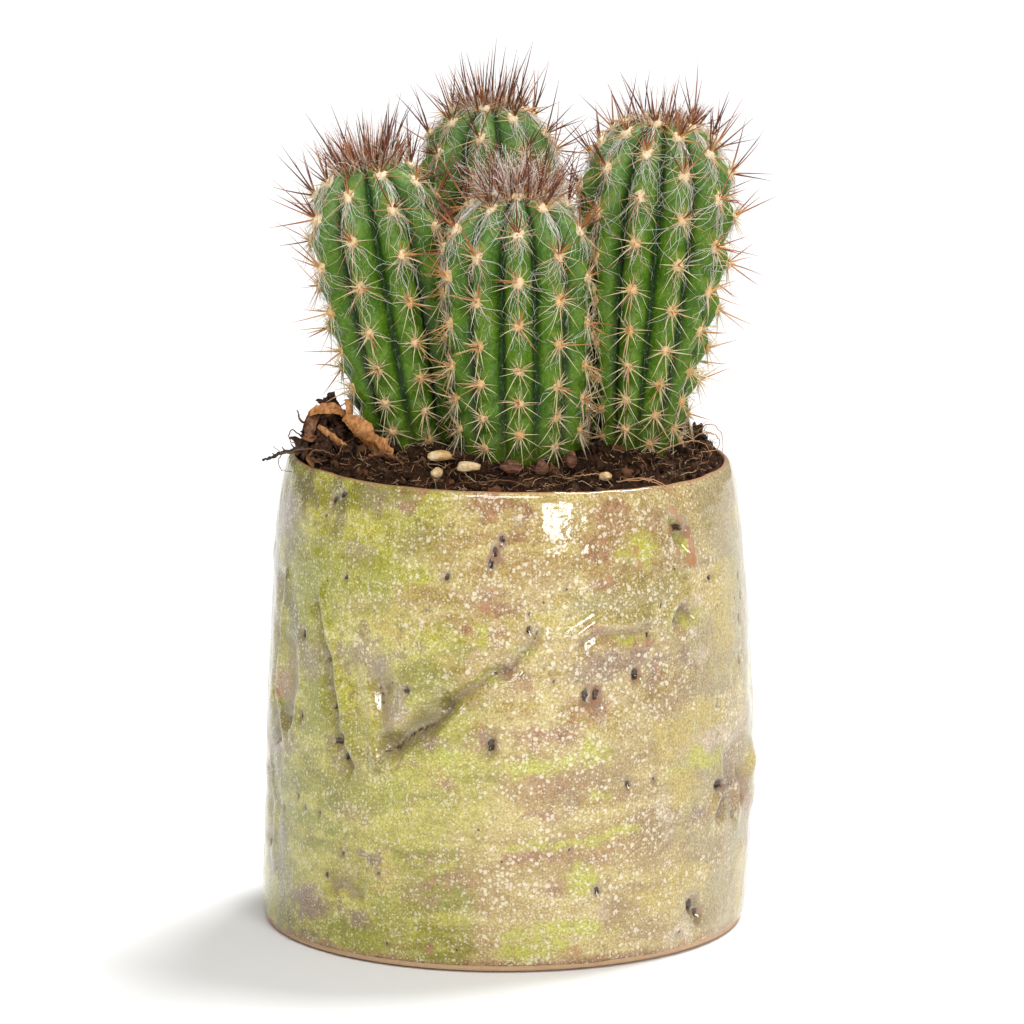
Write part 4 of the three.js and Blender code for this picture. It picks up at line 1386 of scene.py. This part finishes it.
def fibreMaterial():
    s = Shader("root_fibre")
    tone = s.mark("tone")
    colour = s.ramp(tone, 0.15, 0.75, (0.09, 0.035, 0.014), (0.46, 0.25, 0.12))
    colour = s.ramp(tone, 0.80, 0.95, colour, (0.66, 0.50, 0.30))
    return s.finish(Base_Color=colour, Roughness=0.8)


soilLook = soilMaterial("potting_soil")
addPiece("soil_bed", makeSoilMesh(), soilLook, ["potting_mix"])
addPiece("soil_crumbs", crumbMesh(), soilLook)
addPiece("root_fibres", fibreMesh(), fibreMaterial())
print("potting mix made")

# stones, bark, dry leaves and the twig


def stoneMaterial():
    s = Shader("grit_stone")
    colour = s.ramp(s.noise(0.0022, 5, 0.6), 0.35, 0.65, (0.60, 0.34, 0.12), (0.88, 0.70, 0.42))
    colour = s.ramp(s.noise(0.0005, 3, 0.6), 0.55, 0.7, colour, (0.30, 0.17, 0.07), 0.5)
    relief = s.bump(s.noise(0.0008, 4, 0.6), 0.6, 0.0003)
    return s.finish(Base_Color=colour, Roughness=0.7, Normal=relief)


def barkMaterial():
    s = Shader("bark_chip")
    layers = s.noise(0.0008, 4, 0.7, 0.4, s.stretch(0.35, 0.35, 1.6))
    colour = s.ramp(layers, 0.35, 0.65, (0.07, 0.026, 0.014), (0.27, 0.115, 0.06))
    relief = s.bump(layers, 0.9, 0.0005)
    return s.finish(Base_Color=colour, Roughness=0.85, Normal=relief)


def leafMaterial():
    s = Shader("dry_leaf")
    veins = s.noise(0.0010, 4, 0.6, 0.5, s.stretch(1.4, 0.5, 0.9))
    blotch = s.noise(0.003, 4, 0.6)
    copper = s.ramp(veins, 0.35, 0.65, (0.36, 0.13, 0.03), (0.66, 0.31, 0.10))
    brown = s.ramp(veins, 0.35, 0.65, (0.06, 0.022, 0.010), (0.26, 0.115, 0.05))
    colour = s.ramp(s.mark("pale"), 0.1, 0.8, brown, copper)
    colour = s.ramp(blotch, 0.56, 0.70, colour, (0.12, 0.045, 0.018), 0.8)
    relief = s.bump(veins, 0.7, 0.0004)
    return s.finish(Base_Color=colour, Roughness=0.6, Normal=relief)


def twigMaterial():
    s = Shader("dead_twig")
    bark = s.noise(0.0008, 4, 0.7)
    colour = s.ramp(bark, 0.35, 0.65, (0.012, 0.008, 0.006), (0.07, 0.045, 0.03))
    return s.finish(Base_Color=colour, Roughness=0.8, Normal=s.bump(bark, 0.8, 0.0004))


def lumpPiece(name, node, material, seed, angular):
    # A stone or chip of the CAD node's own size, with broken faces.
    low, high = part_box(node)
    middle = (np.array(low) + np.array(high)) / 2
    half = (np.array(high) - np.array(low)) / 2
    ball, faces = spheres[3]
    random = np.random.default_rng(seed)
    shape = ball.copy()
    for _ in range(9):
        facing = unit(random.normal(size=3))
        level = random.uniform(0.62, 0.9)
        over = np.maximum(shape @ facing - level, 0)
        shape -= over[:, None] * facing * angular
    shape *= 1 + 0.07 * roughNoise(ball * 2 + seed, 0.8, 3, seed)[:, None]
    shape /= np.abs(shape).max(axis=0)
    addPiece(name, buildMesh(name, middle + shape * half, [faces]), material, [node])


grit = stoneMaterial()
bark = barkMaterial()
for i in range(1, 7):
    lumpPiece(f"grit_{i}", f"grit_stone_{i}", grit, 50 + i, 0.8)
for i in range(1, 6):
    lumpPiece(f"bark_{i}", f"bark_chip_{i}", bark, 70 + i, 1.0)


def turning(first, second, degrees):
    # A rotation from one axis towards another.
    matrix = np.eye(3)
    matrix[first, first] = matrix[second, second] = math.cos(math.radians(degrees))
    matrix[second, first] = math.sin(math.radians(degrees))
    matrix[first, second] = -matrix[second, first]
    return matrix


def leafSheet(middle, length, breadth, turn, curl, arch, tilt, roll, seed, rows=26, columns=14):
    # A dry leaf flake: a thin closed sheet with a torn outline, rolled across and arched along.
    u = np.linspace(-1, 1, rows)[:, None]
    v = np.linspace(-1, 1, columns)[None]
    edgeSpot = np.stack([u * 3, 0 * u, seed + 0 * u], axis=-1)
    ragged = 1 + 0.3 * roughNoise(edgeSpot, 0.7, 3, seed)
    outline = np.sqrt(np.clip(1 - (u * 0.94) ** 2, 0.02, 1)) * ragged
    bent = v * outline * curl
    x = u * length / 2 + 0 * v
    y = breadth / 2 * np.sin(bent) / abs(curl)
    z = breadth / 2 * (1 - np.cos(bent)) / abs(curl) * np.sign(curl)
    z = z + arch * (1 - u**2) + 0.4 * roughNoise(np.stack([x, y, 0 * x], axis=-1), 2.4, 3, seed)
    top = np.stack([x, y, z + 0.11], axis=-1)
    under = top - np.array([0, 0, 0.22])
    whole = turning(0, 1, turn) @ turning(0, 2, tilt) @ turning(1, 2, roll)
    points = np.concatenate([top.reshape(-1, 3), under.reshape(-1, 3)]) @ whole.T + middle
    faces = gridFaces(rows, columns, False)
    count = rows * columns
    number = np.arange(count).reshape(rows, columns)
    edge = np.concatenate([number[:, 0], number[-1, 1:], number[-2::-1, -1], number[0, -2:0:-1]])
    after = np.roll(edge, -1)
    rim = np.stack([edge, after, after + count, edge + count], axis=-1)
    return points, [faces[:, ::-1], faces + count, rim[:, ::-1]]


leaves = {
    # CAD node: middle in millimetres, length, breadth, turn, curl, arch, tilt, roll, how pale
    "dry_leaf_1": [((-34.8, -10.5, 103.4), 7.6, 3.4, 0, 1.1, 1.9, -4, 40, 0.7),
                   ((-32.6, -13.6, 99.0), 9.6, 2.4, 180, 1.2, -1.1, 34, 60, 0.6),
                   ((-37.6, -10.4, 101.6), 6.0, 3.6, 60, 1.5, 1.0, 55, 20, 0.2)],
    "dry_leaf_2": [((-27.6, -15.8, 100.2), 10.5, 4.4, 180, 0.8, 0.9, 47, 66, 1.0),
                   ((-24.6, -16.8, 97.6), 6.0, 4.6, 165, 1.3, 0.8, 40, 55, 0.9),
                   ((-30.4, -12.4, 103.8), 6.5, 3.0, 110, -1.2, 0.8, 58, 35, 0.6)],
    "dry_leaf_3": [((-22.8, -22.0, 96.2), 8.0, 4.0, 150, 1.1, 0.6, 8, 20, 0.3)],
}
leafLook = leafMaterial()
for number, (node, sheets) in enumerate(leaves.items()):
    gather = Gather()
    for j, (*sheet, pale) in enumerate(sheets):
        points, faces = leafSheet(*sheet, 90 + number * 5 + j)
        gather.add(points * mm, faces, pale=pale)
    addPiece(node + "_curled", gather.mesh(node), leafLook, [node])

pile = {
    "flakes": 170,
    "middle": (-35.5, -7.5),
    "spread": (3.8, 6.0),
    "rise": 5.2,  # height of the heap of flakes above the soil
    "loose": 46,  # flakes strewn over the rest of the soil
}


def flakeMesh():
    # Dark torn bits of leaf and bark, heaped beside the left stem and strewn about.
    random = np.random.default_rng(64)
    ball, faces = spheres[1]
    gather = Gather()
    x = random.normal(pile["middle"][0], pile["spread"][0], pile["flakes"])
    y = random.normal(pile["middle"][1], pile["spread"][1], pile["flakes"])
    looseX, looseY = scatter(random, pile["loose"])
    for i, (px, py) in enumerate(zip([*x, *looseX], [*y, *looseY])):
        away = math.hypot(px - pot["lean"], py)
        if away > 42.5 or depthInStems(np.array([px, py, 97.0])) > -0.8:
            continue
        heaped = i < pile["flakes"]
        fromMiddle = (px - pile["middle"][0]) / 5, (py - pile["middle"][1]) / 7
        near = math.exp(-(fromMiddle[0] ** 2) - fromMiddle[1] ** 2)
        rise = random.uniform(0, 1) * pile["rise"] * near if heaped else 0.2
        size = random.uniform(0.9, 2.3)
        size = size * np.array([1, random.uniform(0.35, 0.8), random.uniform(0.1, 0.25)])
        if not heaped:
            size = size * 0.6
        shape = ball * (1 + 0.45 * roughNoise(ball * 2 + i, 0.9, 3, 5)[:, None]) * size
        shape[:, 2] += 0.25 * shape[:, 0] ** 2 / size[0] * random.uniform(-1, 1.5)
        axes, _ = np.linalg.qr(random.normal(size=(3, 3)))
        if not heaped:
            axes = unit(axes * np.array([1, 1, 0.3]) + np.eye(3) * 0.4)
        ground = float(soilLevel(px, py))
        points = shape @ axes.T + (px, py, ground + 0.5 + rise)
        gather.add(points * mm, [faces], pale=random.uniform(0, 1) ** 2.2)
    return gather.mesh("litter_flakes")


def flakeMaterial():
    s = Shader("dark_litter")
    grain = s.noise(0.0008, 4, 0.7, 0.4)
    colour = s.ramp(grain, 0.35, 0.65, (0.018, 0.008, 0.004), (0.085, 0.032, 0.014))
    lit = s.blend(grain, (0.22, 0.085, 0.03), (0.42, 0.20, 0.08))
    colour = s.ramp(s.mark("pale"), 0.45, 0.9, colour, lit, 0.85)
    relief = s.bump(grain, 0.9, 0.0004)
    return s.finish(Base_Color=colour, Roughness=0.8, Normal=relief, Specular_IOR_Level=0.3)


addPiece("litter_flakes", flakeMesh(), flakeMaterial())

twig = {
    "route": [(-47.6, -12, 94.6), (-45.8, -12, 95.3), (-44, -12, 96.1), (-41.5, -12, 96.5),
              (-38.5, -11.5, 97.2)],
    "thick": (0.24, 0.5),
    "spurs": (9, 15, 20),  # steps along the route where a broken side shoot stands
}


def twigMesh():
    random = np.random.default_rng(33)
    path = smoothPath(twig["route"], routeSteps) + 0.09 * random.normal(size=(routeSteps, 3))
    radius = np.linspace(*twig["thick"], routeSteps) * (1 + 0.15 * random.normal(size=routeSteps))
    gather = Gather()
    gather.addTubes(path[None], radius[None], 10)
    for at in twig["spurs"]:
        way = unit(np.array([-0.4, random.uniform(-1, 1), 0.5]))
        spur = path[at] + np.linspace(0, 1, 6)[:, None] * way * random.uniform(1.2, 2.4)
        gather.addTubes(spur[None], np.linspace(0.22, 0.08, 6)[None], 6)
    return gather.mesh("twig_dead")


addPiece("twig_dead", twigMesh(), twigMaterial(), ["twig"])
print("litter made")

# floor


def addFloor():
    size, drop = 6, -0.0003
    corners = [(x * size, y * size, drop) for x, y in ((-1, -1), (1, -1), (1, 1), (-1, 1))]
    mesh = buildMesh("floor", corners, [[(0, 1, 2, 3)]])
    s = Shader("pale_floor")
    tone = s.blend(s.noise(0.4, 2, 0.5), studio["floor"], tuple(0.99 * c for c in studio["floor"]))
    mesh.materials.append(s.finish(Base_Color=tone, Roughness=0.9, Emission_Color=(1, 1, 1),
                                   Emission_Strength=studio["floorGlow"]))
    floor = bpy.data.objects.new("floor", mesh)
    bpy.context.scene.collection.objects.link(floor)
    floor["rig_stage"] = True


addFloor()
triangles = sum(
    len(polygon.vertices) - 2
    for item in bpy.data.objects
    if item.type == "MESH" and "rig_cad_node" not in item
    for polygon in item.data.polygons
)
print("triangles", triangles)
boxes = {"cad": cadBox, "visual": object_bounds()}
sizes = {label: [list(map(float, corner)) for corner in box] for label, box in boxes.items()}
